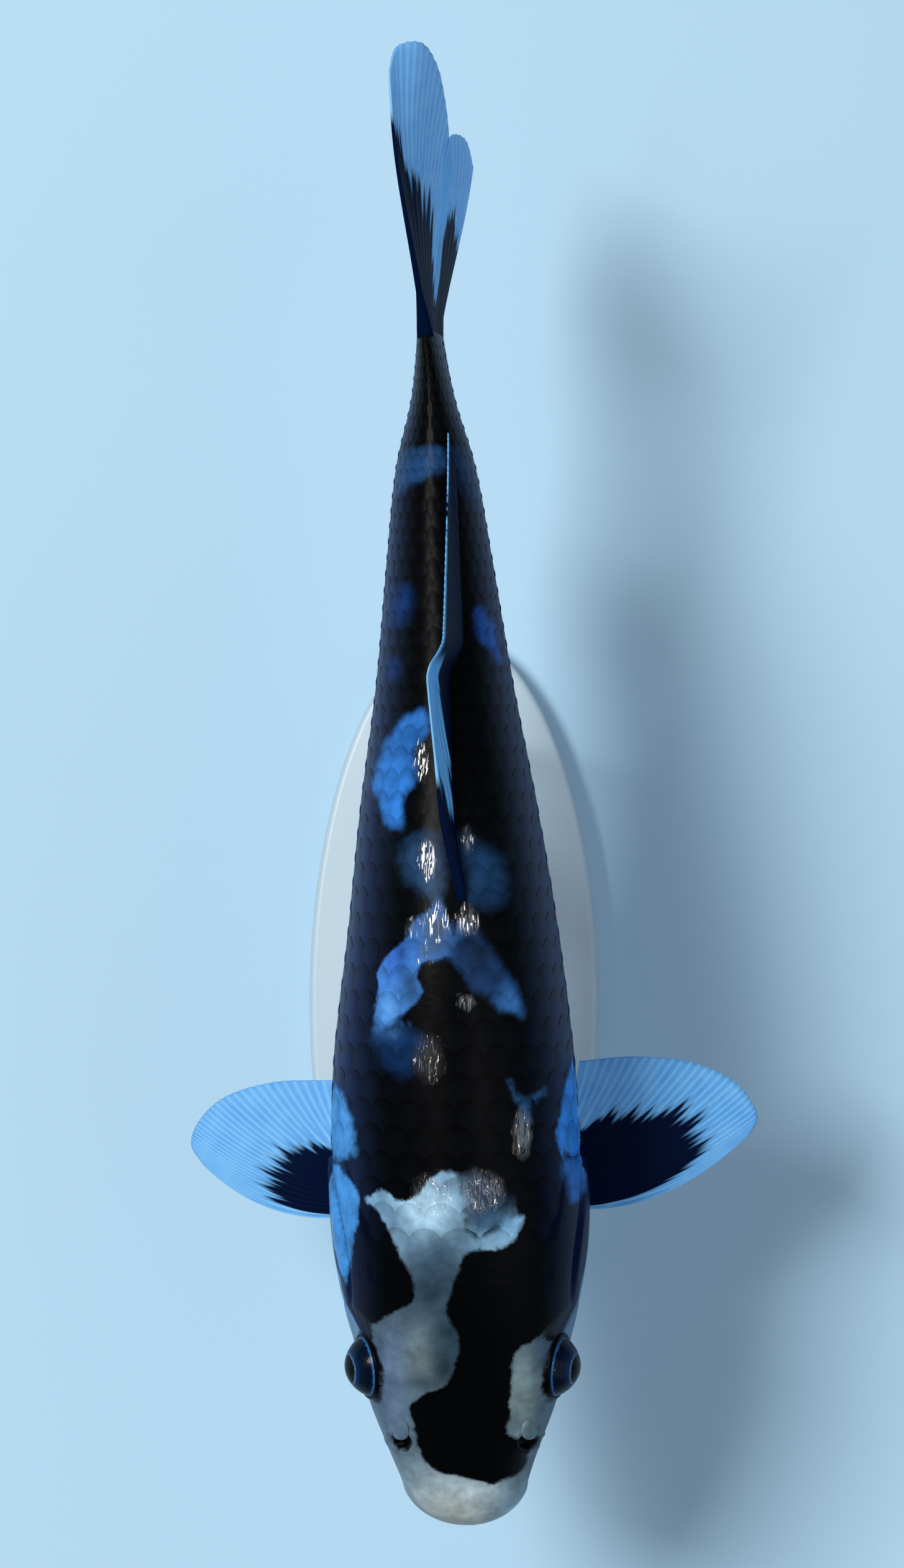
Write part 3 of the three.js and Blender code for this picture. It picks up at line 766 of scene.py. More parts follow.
class KOI_OT_skin(bpy.types.Operator):
    """One wet skin over head, trunk and tail stalk"""
    bl_idname = "koi.skin"
    bl_label = "Skin"

    def execute(self, context):
        rows = head_and_body_rows()
        around = context.scene.koi_body.skin_facets
        mesh = sheet_mesh("koi_skin", len(rows) - 1, around)
        grid = read_places(mesh)
        at = rows[np.rint(grid[:, 0] * (len(rows) - 1)).astype(int)]
        angle = (grid[:, 1] * 2 - 1) * math.pi
        spot = skin_surface(at, angle)
        write_places(mesh, place(*spot))
        # The white is darkened by painted shade in the mouth's line and the gill cover's groove.
        add_markings(mesh, at, angle, spot[1], painted_crease_shade(*spot))
        # The nostril pits are painted black: painted shade inside the recess.
        darken(mesh, 2.1 - nostril_distance(at, spot[1]) - 9 * (spot[2] < 0))
        # The skin within 1 mm of each eyeball is painted black: painted shade of the groove round the eye.
        for _, way in SIDES:
            reach = np.linalg.norm(np.stack(spot, axis=-1) - eye_centre(way), axis=-1)
            darken(mesh, EYE["radius"] + 1.0 - reach)
        close_up(mesh, fill=True)
        finished("koi_skin", mesh, koi_skin("fish_skin_wet", False),
                 ("head", "lower_jaw", "trunk", "tail_stalk", "gill_cover_left", "gill_cover_right"))
        return {"FINISHED"}


# ------------------------------------------------------------------ scales

def scale_template():
    """One scale: a disc over a unit circle, its top inset and poked. Its z is 0 below and 1 on top."""
    bm = bmesh.new()
    bmesh.ops.create_circle(bm, cap_ends=True, radius=1.0, segments=14)
    grown = raise_faces(bm, 1)
    lid = [f for f in grown if isinstance(f, bmesh.types.BMFace)]
    bmesh.ops.inset_region(bm, faces=lid, thickness=0.35)
    bmesh.ops.poke(bm, faces=lid)
    bmesh.ops.recalc_face_normals(bm, faces=bm.faces)
    return bm


def scattered(name, bm, spots):
    """One mesh of a shape repeated once for each spot: the mesh, each vertex's place in the shape
    and its spot's values."""
    unit = np.array([v.co[:] for v in bm.verts])
    one = bpy.data.meshes.new(name)
    bm.to_mesh(one)
    for _ in range(len(spots) - 1):
        bm.from_mesh(one)
    mesh = mesh_of(bm, name)
    bpy.data.meshes.remove(one)
    return mesh, np.tile(unit, (len(spots), 1)), np.repeat(spots, len(unit), axis=0).T


PATCH = 0.003           # side of each copy's patch on the OFBake map


def seat_patches(mesh, unit, at, angle):
    """A UV map in which each copy is a small patch at its root's place on the unrolled body: its
    upper side in the middle, its walls around that, and its underside in a patch beside it."""
    reach = np.where(unit[:, 2] > 0, 0.8, 1.0) * PATCH / 2
    along = at / 300 + unit[:, 0] * reach
    around = (angle / math.pi + 1.1) / 2.3 + unit[:, 1] * reach
    corner = np.empty(len(mesh.loops), dtype=int)
    mesh.loops.foreach_get("vertex_index", corner)
    corners = np.empty(len(mesh.polygons), dtype=int)
    mesh.polygons.foreach_get("loop_total", corners)
    beneath = np.repeat(corners > 4, corners)
    flat = np.stack([along, around], axis=-1)[corner]
    flat[beneath, 0] += 2 * PATCH
    layer = mesh.uv_layers.new(name="OFBake")
    layer.data.foreach_set("uv", flat.astype(np.float32).ravel())


def scale_spots(rows):
    """Each scale's place behind the snout, its angle and the pitch of its ring, ring by ring."""
    spots = []
    at = 62.0
    column = 0
    while at < BODY_END - 2:
        depth = (station("back", at) - station("belly", at)) / 2
        girth = (station("half", at) + depth) / 2 * math.pi
        pitch = girth / rows * 0.62 + 1.1
        for row in range(-rows, rows):
            angle = (row + 0.5 + 0.5 * (column % 2)) * 180.0 / rows
            spots.append((at, math.radians(angle), pitch))
        at += pitch
        column += 1
    return np.array([s for s in spots if scale_cover(np.array(s[0] + 1.5), np.array(s[1])) > 0.5])


class KOI_OT_scales(bpy.types.Operator):
    """Overlapping scales from the nape and gill covers back to the tail fin"""
    bl_idname = "koi.scales"
    bl_label = "Scales"

    def execute(self, context):
        body = context.scene.koi_body
        spots = scale_spots(body.scale_rows)
        mesh, unit, (at0, angle0, pitch) = scattered("koi_scales", scale_template(), spots)
        u, v, top = unit.T
        at = np.minimum(at0 + u * (pitch * 0.95), BODY_END + 1)
        angle = angle0 + v * (math.radians(180.0 / body.scale_rows) * 0.62)
        back = (u + 1) / 2
        radius = np.hypot(u, v)
        lift = body.scale_lift / MM * (back * 1.3 - 1) - 0.28
        lift = lift + top * (0.08 + 0.12 * (1 - radius ** 2))
        out, up = section(at, angle, lift)
        write_places(mesh, place(at, out, up))
        add_markings(mesh, at, angle, out)
        add_number(mesh, "rim", radius * (0.6 + 0.4 * back))
        seat_patches(mesh, unit, at0, angle0)
        mesh.shade_smooth()
        mesh.set_sharp_from_angle(angle=math.radians(50))
        finished("koi_scales", mesh, koi_skin("scale_skin_wet", True))
        return {"FINISHED"}


class KOI_OT_lateral_line(bpy.types.Operator):
    """The row of small pores along each flank, one on every scale there"""
    bl_idname = "koi.lateral_line"
    bl_label = "Lateral line"

    def execute(self, context):
        rows = context.scene.koi_body.scale_rows
        line = math.radians(LATERAL_LINE)
        near = math.radians(180.0 / rows) / 2
        spots = scale_spots(rows)
        spots = spots[np.abs(np.abs(spots[:, 1]) - line) < near]
        bm = bmesh.new()
        bmesh.ops.create_uvsphere(bm, u_segments=10, v_segments=8, radius=1.0)
        mesh, unit, (at0, angle0, pitch) = scattered("koi_lateral_line", bm, spots)
        at = at0 + 0.6 + unit[:, 0] * pitch * 0.3
        angle = np.sign(angle0) * line + unit[:, 1] * 0.5 / 20
        out, up = section(at, angle, unit[:, 2] * 0.35 - 0.3)
        write_places(mesh, place(at, out, up))
        add_markings(mesh, at, angle, out)
        add_number(mesh, "rim", 0.4 + 0 * out)
        seat_patches(mesh, unit, at0, angle0)
        close_up(mesh)
        finished("koi_lateral_line", mesh, bpy.data.materials["scale_skin_wet"])
        return {"FINISHED"}


# ------------------------------------------------------------------ fins

FACETS_PER_RAY = 8
SWING, LEAN = 3.6, 0.19     # the dorsal fin's bend to the left in mm, and its fall to the right
PALE_WEDGE, PALE_EDGE = 204, 0.94     # where the dorsal fin's pale front ends, and its pale rim


def ray_jitter(v, rays, seed):
    """How far pigment runs out along each ray, -1..1, spiky from ray to ray."""
    spot = np.asarray(v) * rays * 2
    left = np.floor(spot)
    jump = lambda k: 2 * ((np.sin(k * 12.9898 + seed) * 43758.5453) % 1) - 1
    return mix(jump(left), jump(left + 1), spot - left)


def build_fin(name, rays, steps, point, thickness, black_to, size, replaces, seed, notch=0.004):
    """A fin: a slab over its rays, ridged by them, black out to black_to(v) of each ray's length.
    point(u, v) gives at, out, up; size is the rays' length in mm."""
    fins = bpy.context.scene.koi_fins
    mesh = sheet_mesh(name, steps, rays * FACETS_PER_RAY, deep=True)
    grid = read_places(mesh)
    u, v, side = grid[:, 0], grid[:, 1], grid[:, 2] * 2 - 1
    main = np.cos(2 * math.pi * rays * v)
    split = np.cos(4 * math.pi * rays * v)
    profile = mix(main, split, smooth(u, 0.45, 0.7)) * 0.5 + 0.5
    long_u = u * (1 - notch * (1 - profile) * smooth(u, 0.7, 1.0))
    tiny = 1e-3
    spot = lambda u, v: place(*point(np.clip(u, 0, 1), np.clip(v, 0, 1)).T)
    along = spot(long_u + tiny, v) - spot(long_u - tiny, v)
    across = spot(long_u, v + tiny) - spot(long_u, v - tiny)
    normal = np.cross(along, across)
    normal /= np.maximum(np.linalg.norm(normal, axis=1, keepdims=True), 1e-12)
    ridge = fins.ray_height / MM * profile ** 1.5 * (1 - 0.7 * u)
    thick = thickness(u) * 0.5 + ridge
    write_places(mesh, spot(long_u, v) + normal * (side * thick * MM)[:, None])
    spikes = (black_to(v) + 0.06 * ray_jitter(v, rays, seed) + 0.05 * ray_jitter(v, rays * 2.5, seed + 4)
              + 0.04 * ray_jitter(v, rays / 4, seed + 9) + 0.07 * (profile - 0.5))
    add_number(mesh, "sumi", (spikes - u) * size)
    add_number(mesh, "ray", profile ** 2 * (1 - 0.3 * u))
    add_number(mesh, "tip", u)
    close_up(mesh, merge=1e-7)
    return finished(name, mesh, bpy.data.materials["fin_membrane_stretched_over_rays"], replaces)


def profile_over(v, stops):
    """Value at v from a few (v, value) stops."""
    spots, values = zip(*stops)
    return np.interp(v, spots, values)


def taper(root, edge):
    return lambda u: mix(root, edge, np.minimum(u * 1.6, 1))


def fan(root, bow, margin):
    def point(u, v):
        u = np.asarray(u)[:, None]
        a, b, c = (curve_through(line, v) for line in (root, bow, margin))
        return a * (1 - u) ** 2 + b * 2 * u * (1 - u) + c * u * u
    return point


PECTORALS = {
    "left": {
        "root": [(75, 20, -24), (84, 22, -25)],
        "bow": [(69, 46, -22), (83, 42, -20), (97, 28, -21)],
        "margin": [(91.9, 70.7, -27), (95.5, 72.6, -27), (102.8, 68.8, -26.4), (108.4, 58.5, -25.4),
                   (110.3, 44.5, -24), (109.2, 30, -24)],
        "black": [(0, 0.1), (0.05, 0.16), (0.1, 0.6), (0.16, 0.68), (0.3, 0.74), (0.42, 0.75),
                  (0.55, 0.7), (0.68, 0.64), (0.78, 0.56), (0.88, 0.44), (1, 0.32)],
        "size": 52,
    },
    "right": {
        "root": [(73, -20, -24), (82, -22, -25)],
        "bow": [(67.5, -45, -22), (80, -40, -20), (93, -28, -21)],
        "margin": [(84.3, -61, -27), (89, -63.6, -27), (94, -62, -26.6), (100, -56, -25.6),
                   (104, -44, -24), (104.6, -29, -24)],
        "black": [(0, 0.1), (0.05, 0.14), (0.1, 0.52), (0.2, 0.56), (0.35, 0.56), (0.5, 0.58),
                  (0.62, 0.62), (0.72, 0.55), (0.82, 0.42), (0.9, 0.32), (1, 0.2)],
        "size": 44,
    },
}


class KOI_OT_paired_fins(bpy.types.Operator):
    """Pectoral and pelvic fins"""
    bl_idname = "koi.paired_fins"
    bl_label = "Paired fins"

    def execute(self, context):
        for seed, (side, fin) in enumerate(PECTORALS.items()):
            build_fin(f"koi_pectoral_fin_{side}", 16, 44, fan(fin["root"], fin["bow"], fin["margin"]),
                      taper(2.4, 0.3), lambda v: profile_over(v, fin["black"]), fin["size"],
                      (f"pectoral_fin_{side}",), 3.1 + seed)
        for side, way in SIDES:
            point = fan(
                [(141, way * 9, -33), (147, way * 7, -33)],
                [(152, way * 16, -41), (156, way * 11, -42), (158, way * 6, -40)],
                [(176, way * 18, -43), (179, way * 14, -45.5), (177, way * 8.5, -46), (171, way * 4.5, -43)],
            )
            build_fin(f"koi_pelvic_fin_{side}", 9, 30, point, taper(2, 0.3),
                      lambda v: 0.3 + 0.1 * np.sin(v * 3), 36, (f"pelvic_fin_{side}",), 7.7 + way)
        return {"FINISHED"}


def dorsal_point(u, v):
    margin = [(203, 0, 52), (207, 0, 48.5), (216, 0, 42.5), (230, 0, 34), (246, 0, 25), (257, 0, 20.2)]
    at = mix(146.0, 246.0, np.asarray(v))
    foot = np.stack([at, 0 * at, station("back", at) - 1.5], axis=-1)
    p = mix(foot, curve_through(margin, v), np.asarray(u)[:, None])
    p[:, 2] += 3 * np.sin(math.pi * u) * (1 - v)
    height = np.maximum(p[:, 2] - station("back", p[:, 0]), 0)
    swing = SWING * (0.6 * (1 - smooth(p[:, 0], 146, 170)) + smooth(p[:, 0], 199, 209))
    p[:, 1] = swing - LEAN * height
    return p


def anal_point(u, v):
    margin = [(236, 0, -39.5), (239, 0, -36), (240, 0, -30), (239, 0, -25)]
    at = mix(207.0, 224.0, np.asarray(v))
    foot = np.stack([at, 0 * at, station("belly", at) + 1.5], axis=-1)
    p = mix(foot, curve_through(margin, v), np.asarray(u)[:, None])
    p[:, 2] -= 3.5 * np.sin(math.pi * u) * (1 - v)
    return p


def tail_point(u, v):
    margin = curve_through([
        (339, 0, 41.5), (344.5, 1.5, 40.5), (346, 6, 36), (342, 8, 28.5), (333, 8, 18.5), (323.5, 6.5, 8),
        (318, 5.2, 0), (318, 3.5, -8), (321.5, 0.5, -18), (328, -3, -27), (332, -2.5, -35), (331, -1, -42),
        (325, 0, -45.5),
    ], v)
    way = mix(1.0, -1.0, np.asarray(v))
    u = np.asarray(u)
    foot = np.stack([0 * way + BODY_END - 1.5, 0 * way, way * 17], axis=-1)
    p = mix(foot, margin, u[:, None])
    p[:, 1] = margin[:, 1] * u * u
    p[:, 2] += 3.2 * np.sin(math.pi * u) * way * np.abs(way)
    return p


class KOI_OT_middle_fins(bpy.types.Operator):
    """Dorsal, anal and tail fin"""
    bl_idname = "koi.middle_fins"
    bl_label = "Middle fins"

    def execute(self, context):
        dorsal_black = [(0, 0.5), (0.06, 0.46), (0.12, 0.3), (0.2, 0.1), (0.3, 0.16), (0.38, 0.55),
                        (0.46, 0.88), (0.55, 0.95), (0.7, 0.96), (1, 0.96)]
        fin = build_fin("koi_dorsal_fin", 20, 40, dorsal_point, taper(2.2, 0.3),
                        lambda v: profile_over(v, dorsal_black), 55, ("dorsal_fin",), 1.3)
        # Behind the front rays' tips only the fin's very edge is pale.
        behind = read_places(fin.data)[:, 1] / MM - ORIGIN[1] - PALE_WEDGE
        darken(fin.data, np.minimum(behind, (PALE_EDGE - read_numbers(fin.data, "tip")) * 50))
        build_fin("koi_anal_fin", 7, 30, anal_point, taper(2, 0.3),
                  lambda v: 0.35 + 0.1 * np.sin(v * 5), 30, ("anal_fin",), 4.9)
        tail_black = [(0, 0.84), (0.06, 0.7), (0.12, 0.56), (0.2, 0.5), (0.3, 0.6), (0.36, 0.5),
                      (0.42, 0.32), (0.5, 0.26), (0.58, 0.24), (0.66, 0.36), (0.75, 0.5), (0.85, 0.58),
                      (1, 0.6)]
        thick = lambda u: np.maximum(mix(3.6, 1.4, np.minimum(u * 6, 1)) - u * 1.1, 0.3)
        build_fin("koi_tail_fin", 20, 60, tail_point, thick,
                  lambda v: profile_over(v, tail_black), 62, ("tail_fin",), 9.2)
        return {"FINISHED"}


# ------------------------------------------------------------------ eyes, nostrils and barbels

# Angles round the body, in radians: lids and nostril flaps take the brow's colours, barbels the cheek's.
BROW, LOWER_CHEEK = 0.8, 1.9
CORNEA_BULGE = 0.45             # how far the cornea stands out of the eyeball, in mm
BARBEL_TIP = 0.42               # radius of a barbel's end, in mm
BARBELS = (
    {"name": "front", "at": 7, "below": 30, "back": 5, "down": 4.2, "spread": 2.4, "root": 0.8},
    {"name": "rear", "at": 15, "below": 35, "back": 10, "down": 6.5, "spread": 2.6, "root": 1.1},
)


def spun_ball(name, segments, rings):
    bm = bmesh.new()
    bmesh.ops.create_uvsphere(bm, u_segments=segments, v_segments=rings, radius=1.0)
    return mesh_of(bm, name)


def spin_round(bm, shape, steps):
    """Turns a profile once round the z axis."""
    bmesh.ops.spin(bm, geom=shape, cent=(0, 0, 0), axis=(0, 0, 1), angle=2 * math.pi, steps=steps,
                   use_merge=True)


def facing(axis):
    """Turns +Z to an axis given in the shared frame."""
    return np.array(Vector((0, 0, 1)).rotation_difference(Vector(axis)).to_matrix()).T


def make_eyeball(side, turn, centre, material):
    mesh = spun_ball(f"koi_eye_{side}", 48, 32)
    unit = read_places(mesh)
    angle = np.degrees(np.arccos(np.clip(unit[:, 2], -1, 1)))
    radius = EYE["radius"] + CORNEA_BULGE * bell(angle, 32)
    write_places(mesh, (unit * radius[:, None] * MM) @ turn + centre)
    add_number(mesh, "gaze", angle)
    mesh.shade_smooth()
    finished(f"koi_eye_{side}", mesh, material, (f"eye_{side}",))


def make_eyelid(side, way, turn, centre, thickness):
    """The fold of skin round an eye: a thin ring lying on the eyeball."""
    opening = math.radians(EYE["opening"] + 2)
    ring = EYE["radius"] * MM * math.sin(opening)
    depth = EYE["radius"] * MM * math.cos(opening)
    upright = Matrix.Translation((ring, 0, depth)) @ Matrix.Rotation(math.pi / 2, 4, "X")
    bm = bmesh.new()
    made = bmesh.ops.create_circle(bm, segments=12, radius=thickness, matrix=upright)
    spin_round(bm, made["verts"] + bm.edges[:], 56)
    lid = mesh_of(bm, f"koi_eyelid_{side}")
    write_places(lid, read_places(lid) @ turn + centre)
    spot = read_places(lid) / MM - ORIGIN
    out = spot[:, 0] - station("bend", spot[:, 1])
    add_markings(lid, spot[:, 1], np.full(len(spot), way * BROW), out)
    # The lid is painted black all over: painted shade of the groove round the eye.
    darken(lid, np.full(len(spot), 3.0))
    close_up(lid)
    finished(f"koi_eyelid_{side}", lid, bpy.data.materials["fish_skin_wet"])


class KOI_OT_eyes(bpy.types.Operator):
    """Eyeballs with a bulging cornea, and the fold of skin round each"""
    bl_idname = "koi.eyes"
    bl_label = "Eyes"

    def execute(self, context):
        material = eye_surface()
        for side, way in SIDES:
            centre = place(*eye_centre(way))
            turn = facing((way * GAZE[1], GAZE[0], GAZE[2]))
            make_eyeball(side, turn, centre, material)
            make_eyelid(side, way, turn, centre, context.scene.koi_body.eyelid)
        return {"FINISHED"}


def make_barbel(barbel, side, way, skin):
    angle = math.radians(90 + barbel["below"])
    foot_out, foot_up = section(np.array(float(barbel["at"])), np.array(angle), -0.6)
    name = f"koi_barbel_{barbel['name']}_{side}"
    mesh = sheet_mesh(name, 16, 12)
    grid = read_places(mesh)
    t, turn = grid[:, 0], grid[:, 1] * 2 * math.pi
    end = np.sqrt(np.clip((1 - t) / 0.08, 0, 1) * 0.9 + 0.1)
    radius = mix(1.1 * barbel["root"], BARBEL_TIP, t) * end
    at = barbel["at"] + barbel["back"] * t + 0.6 * radius * np.sin(turn)
    out = foot_out + barbel["spread"] * np.sin(math.pi / 2 * t) + radius * np.cos(turn)
    up = foot_up - barbel["down"] * t * t - 0.8 * t + 0.8 * radius * np.sin(turn)
    write_places(mesh, place(at, way * out, up))
    add_markings(mesh, at, np.full(len(t), way * LOWER_CHEEK), way * out)
    close_up(mesh, fill=True)
    finished(name, mesh, skin, (f"barbel_{barbel['name']}_{side}",))


def make_nostril_flap(side, way, skin):
    """A small fold of skin that stands behind the nostril."""
    mesh = spun_ball(f"koi_nostril_flap_{side}", 24, 16)
    unit = read_places(mesh)
    at = NOSTRIL_AT + 2.9 + unit[:, 1] * 2.5 - 0.5 * unit[:, 0] ** 2
    across = way * NOSTRIL_OUT - NOSTRIL_SHIFT + unit[:, 0] * 1.9 - way * 0.3 * unit[:, 1]
    flat = np.arcsin(np.clip(np.abs(across) / station("half", at), 0, 0.99) ** (1 / 0.84))
    _, skin_up = section(at, flat, 0 * at)
    tilt = 0.5 - 0.5 * unit[:, 1]
    write_places(mesh, place(at, across, skin_up + tilt + unit[:, 2] * 0.95))
    add_markings(mesh, at, np.full(len(at), way * BROW), across)
    mesh.shade_smooth()
    finished(f"koi_nostril_flap_{side}", mesh, skin)


class KOI_OT_barbels(bpy.types.Operator):
    """Two pairs of barbels beside the mouth, and the flap over each nostril"""
    bl_idname = "koi.barbels"
    bl_label = "Barbels and nostrils"

    def execute(self, context):
        skin = bpy.data.materials["fish_skin_wet"]
        for side, way in SIDES:
            for barbel in BARBELS:
                make_barbel(barbel, side, way, skin)
            make_nostril_flap(side, way, skin)
        return {"FINISHED"}


# ------------------------------------------------------------------ stand

def make_base(bevel):
    low, high = (Vector(corner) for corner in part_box("stand_base"))
    middle = (low + high) / 2
    bm = bmesh.new()
    bmesh.ops.create_circle(bm, cap_ends=True, radius=1.0, segments=96)
    bmesh.ops.scale(bm, verts=bm.verts, vec=((high.x - low.x) / 2, (high.y - low.y) / 2, 1))
    raise_faces(bm, high.z - low.z)
    bmesh.ops.recalc_face_normals(bm, faces=bm.faces)
    rims = [e for e in bm.edges if abs(e.verts[0].co.z - e.verts[1].co.z) < 1e-6]
    bmesh.ops.bevel(bm, geom=rims, offset=bevel, segments=4, profile=0.5, affect="EDGES", material=-1)
    bmesh.ops.translate(bm, verts=bm.verts, vec=(middle.x, middle.y, low.z))
    mesh = mesh_of(bm, "koi_stand_base")
    mesh.shade_smooth()
    mesh.set_sharp_from_angle(angle=math.radians(40))
    finished("stand_base_oval", mesh, base_paint(), ("stand_base",))


# The collar's outline: its radius as a share of the rod's, and its height over the rod's foot in mm.
COLLAR = ((2.2, -0.3), (2.2, 1.4), (1.9, 2.0), (1.25, 2.4), (1.2, 6), (1, 6.6))


def make_rod(end, steel):
    """A steel rod with the turned collar that holds it on the base."""
    low, high = (Vector(corner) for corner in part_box(f"stand_rod_{end}"))
    radius = (high.x - low.x) / 2
    profile = [(0, low.z + COLLAR[0][1] * MM)]
    profile += [(radius * wide, low.z + up * MM) for wide, up in COLLAR]
    profile += [(radius, high.z), (0, high.z)]
    bm = bmesh.new()
    verts = [bm.verts.new((r, 0, z)) for r, z in profile]
    edges = [bm.edges.new(pair) for pair in zip(verts, verts[1:])]
    spin_round(bm, verts + edges, 40)
    bmesh.ops.remove_doubles(bm, verts=bm.verts, dist=1e-7)
    bmesh.ops.recalc_face_normals(bm, faces=bm.faces)
    bmesh.ops.translate(bm, verts=bm.verts, vec=((low.x + high.x) / 2, (low.y + high.y) / 2, 0))
    mesh = mesh_of(bm, f"stand_rod_{end}_steel")
    mesh.shade_smooth()
    mesh.set_sharp_from_angle(angle=math.radians(35))
    finished(f"stand_rod_{end}_steel", mesh, steel, (f"stand_rod_{end}",))


class KOI_OT_stand(bpy.types.Operator):
    """Oval base and two steel rods with collars"""
    bl_idname = "koi.stand"
    bl_label = "Stand"

    def execute(self, context):
        make_base(context.scene.koi_stand.base_bevel)
        steel = drawn_steel()
        for end in ("front", "rear"):
            make_rod(end, steel)
        return {"FINISHED"}


# ------------------------------------------------------------------ stage

FLOOR_HALF = 3.0        # metres from the floor's middle to its edge
SENSOR = 36.0           # width of the camera's sensor in mm
LIGHTS_AIM = 150.0      # mm behind the snout, where the lights point
VIEW_MIDDLE, VIEW_SHIFT = 175.4, -3.2     # mm behind the snout and to the left of the body's axis


def make_floor(stage):
    bm = bmesh.new()
    bmesh.ops.create_grid(bm, x_segments=1, y_segments=1, size=FLOOR_HALF)
    mesh = mesh_of(bm, "floor")
    floor = bpy.data.objects.new("floor", mesh)
    bpy.context.scene.collection.objects.link(floor)
    material, tree = new_material("matt_floor_paint")
    shade(tree, {"Base Color": (*stage.floor[:3], 1), "Roughness": 0.9, "Specular IOR Level": 0.2})
    mesh.materials.append(material)


def light_room(stage):
    """The even light of the room and the lamps overhead."""
    world = bpy.data.worlds.new("soft_room")
    bpy.context.scene.world = world
    world.use_nodes = True
    sky = world.node_tree.nodes["Background"]
    sky.inputs["Color"].default_value = linear("#dce6f2")
    sky.inputs["Strength"].default_value = stage.room_light
    aim = Vector(place(LIGHTS_AIM, 0, 0))
    rear_power = stage.glint_power * 0.65
    lamps = [
        ("key_light", (-1.0, 0.45, 1.8), 0.7, stage.key_power, "#fffaf2"),
        ("fill_light", (1.6, -0.6, 1.7), 2.4, stage.fill_power, "#e6f1ff"),
        ("glint_light_rear", (0.85, 0.15, 1.9), 0.14, rear_power, "#fff0e2"),
        ("glint_light_left", (-0.62, -0.75, 1.9), 0.14, stage.glint_power, "#ffead6"),
        ("glint_light_right", (0.95, -0.62, 1.8), 0.14, stage.glint_power, "#ffead6"),
    ]
    for name, spot, size, power, colour in lamps:
        lamp = bpy.data.lights.new(name, "AREA")
        lamp.shape = "RECTANGLE"
        lamp.size = lamp.size_y = size
        lamp.energy = power
        lamp.color = linear(colour)[:3]
        lamp.use_shadow = not name.startswith("glint")
        light = bpy.data.objects.new(name, lamp)
        light.location = spot
        light.rotation_euler = (aim - Vector(spot)).to_track_quat("-Z", "Y").to_euler()
        bpy.context.scene.collection.objects.link(light)


def hang_camera(stage):
    """A camera that looks straight down on the fish."""
    scene = bpy.context.scene
    lens = bpy.data.cameras.new("camera")
    lens.sensor_width = SENSOR
    lens.lens = SENSOR * stage.camera_distance / stage.view_length
    lens.clip_end = 20.0
    camera = bpy.data.objects.new("camera", lens)
    x, _, z = ORIGIN * MM
    camera.location = (x + VIEW_SHIFT * MM, place(VIEW_MIDDLE, 0, 0)[1], z + stage.camera_distance)
    camera.rotation_euler = (0, 0, 0)
    scene.view_settings.view_transform = "Standard"
    scene.collection.objects.link(camera)
    scene.camera = camera


class KOI_OT_stage(bpy.types.Operator):
    """Pale floor, soft lights and the camera straight above the fish"""
    bl_idname = "koi.stage"
    bl_label = "Stage"

    def execute(self, context):
        stage = context.scene.koi_stage
        make_floor(stage)
        light_room(stage)
        hang_camera(stage)
        return {"FINISHED"}


# ------------------------------------------------------------------ settings and panel

class KoiBody(bpy.types.PropertyGroup):
    skin_facets: IntProperty(name="Skin facets", description="Facets around the body", default=216)
    scale_rows: IntProperty(name="Scale rows", description="Rows of scales on each side", default=13)
    scale_lift: FloatProperty(name="Scale lift", description="How far a scale's rear edge stands up",
                              default=0.00024, unit="LENGTH", precision=5)
    edge_raggedness: FloatProperty(name="Ragged edge", description="How far the black strays at its edge",
                                   default=0.0028, unit="LENGTH", precision=5)
    eyelid: FloatProperty(name="Eyelid", description="Radius of the fold of skin round the eye",
                          default=0.0006, unit="LENGTH", precision=5)


class KoiFins(bpy.types.PropertyGroup):
    ray_height: FloatProperty(name="Ray height", description="How far a ray stands out of the membrane",
                              default=0.00016, unit="LENGTH", precision=5)
    root_cover: FloatProperty(name="Cover at the root", description="Opacity where a fin starts",
                              default=0.85, subtype="FACTOR")
    tip_cover: FloatProperty(name="Cover at the tip", description="Opacity at a fin's edge",
                             default=0.7, subtype="FACTOR")
    # The membrane's and rays' blues are painted blue light seen through the clear fin.
    deep: FloatVectorProperty(name="Membrane", description="Deeper tone of the membrane", subtype="COLOR",
                              default=linear("#2f8ce4")[:3])
    pale: FloatVectorProperty(name="Pale membrane", description="Paler tone of the membrane",
                              subtype="COLOR", default=linear("#74bdf3")[:3])
    ray_colour: FloatVectorProperty(name="Rays", description="Colour of the rays", subtype="COLOR",
                                    default=linear("#8accf7")[:3])


class KoiStand(bpy.types.PropertyGroup):
    base_bevel: FloatProperty(name="Base bevel", description="Rounding of the base's edges",
                              default=0.0016, unit="LENGTH", precision=4)


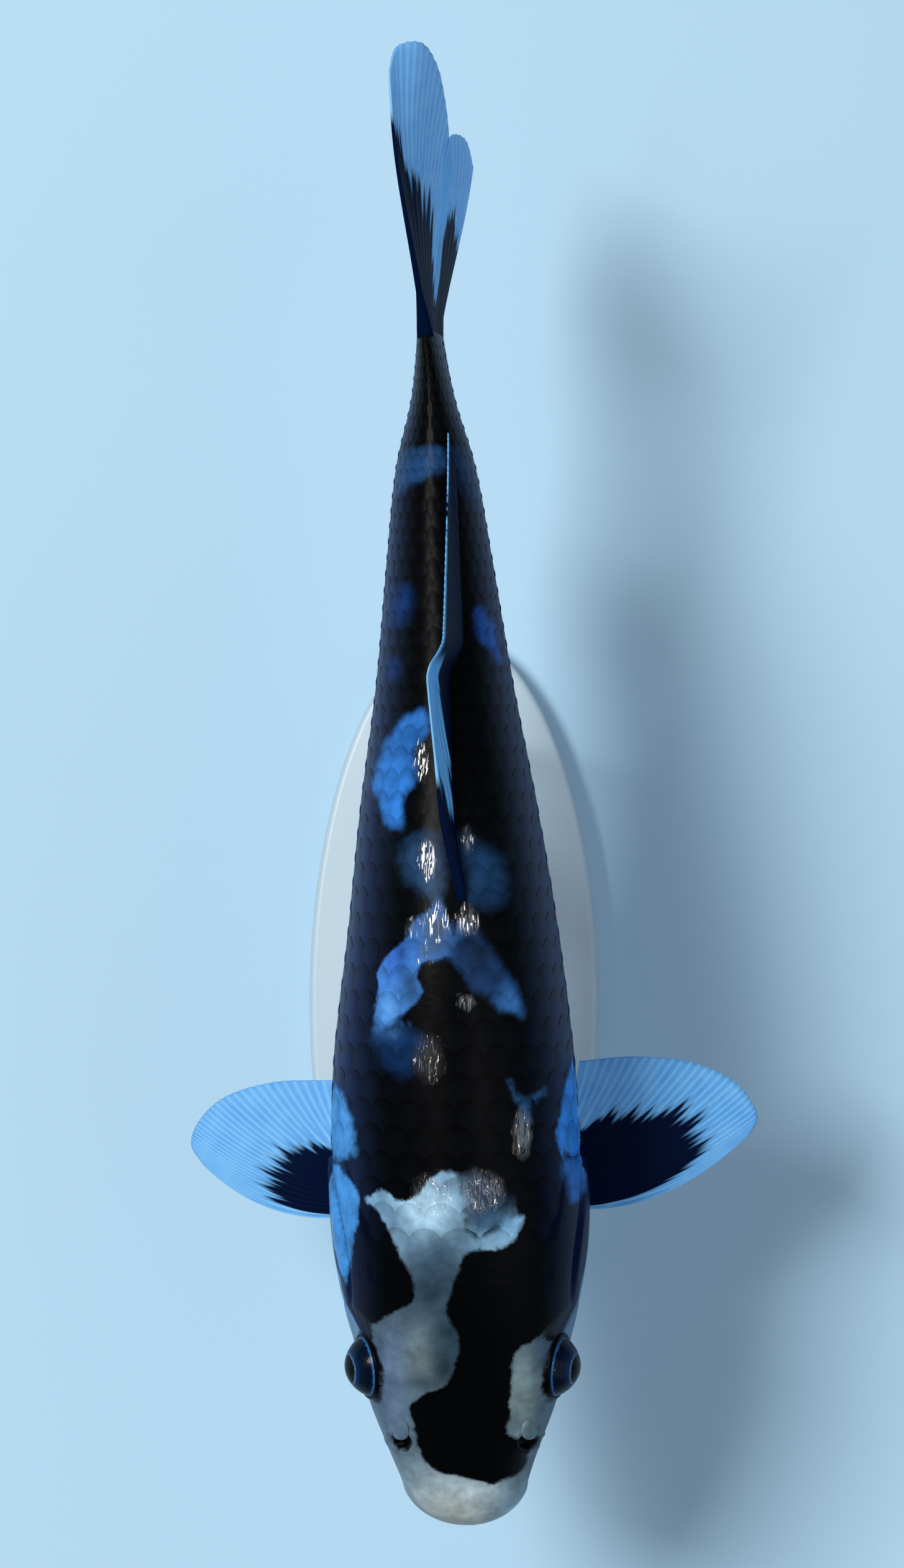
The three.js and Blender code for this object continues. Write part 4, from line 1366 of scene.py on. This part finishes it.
class KoiStage(bpy.types.PropertyGroup):
    floor: FloatVectorProperty(name="Floor", description="Colour of the floor", subtype="COLOR",
                               default=linear("#a9cde6")[:3])
    room_light: FloatProperty(name="Room light", description="Strength of the even light", default=0.18)
    key_power: FloatProperty(name="Key light", description="Power of the main light", default=44.0,
                             unit="POWER")
    fill_power: FloatProperty(name="Fill light", description="Power of the weaker light", default=14.0,
                              unit="POWER")
    glint_power: FloatProperty(name="Glint light", description="Power of each small light overhead",
                               default=2.2, unit="POWER")
    camera_distance: FloatProperty(name="Camera distance", description="From the fish's axis",
                                   default=1.5, unit="LENGTH")
    view_length: FloatProperty(name="View length", description="What the long side of the view takes in",
                               default=0.3693, unit="LENGTH")


class KOI_PT_panel(bpy.types.Panel):
    """Lists the koi's pieces"""
    bl_label = "Koi"
    bl_idname = "KOI_PT_panel"
    bl_space_type = "VIEW_3D"
    bl_region_type = "UI"
    bl_category = "Koi"

    def draw(self, context):
        for operator in OPERATORS:
            self.layout.operator(operator.bl_idname)


OPERATORS = (KOI_OT_stage, KOI_OT_skin, KOI_OT_scales, KOI_OT_lateral_line, KOI_OT_paired_fins,
             KOI_OT_middle_fins, KOI_OT_eyes, KOI_OT_barbels, KOI_OT_stand)
SETTINGS = {"koi_body": KoiBody, "koi_fins": KoiFins, "koi_stand": KoiStand, "koi_stage": KoiStage}


def register():
    for group in SETTINGS.values():
        bpy.utils.register_class(group)
    for operator in OPERATORS:
        bpy.utils.register_class(operator)
    bpy.utils.register_class(KOI_PT_panel)
    for name, group in SETTINGS.items():
        setattr(bpy.types.Scene, name, PointerProperty(type=group))


def unregister():
    for name in SETTINGS:
        delattr(bpy.types.Scene, name)
    bpy.utils.unregister_class(KOI_PT_panel)
    for operator in reversed(OPERATORS):
        bpy.utils.unregister_class(operator)
    for group in reversed(list(SETTINGS.values())):
        bpy.utils.unregister_class(group)


def main():
    register()
    bpy.ops.koi.stage()
    bpy.ops.koi.skin()
    bpy.ops.koi.scales()
    bpy.ops.koi.lateral_line()
    fin_membrane()
    bpy.ops.koi.paired_fins()
    bpy.ops.koi.middle_fins()
    bpy.ops.koi.eyes()
    bpy.ops.koi.barbels()
    bpy.ops.koi.stand()
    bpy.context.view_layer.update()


if __name__ == "__main__":
    main()
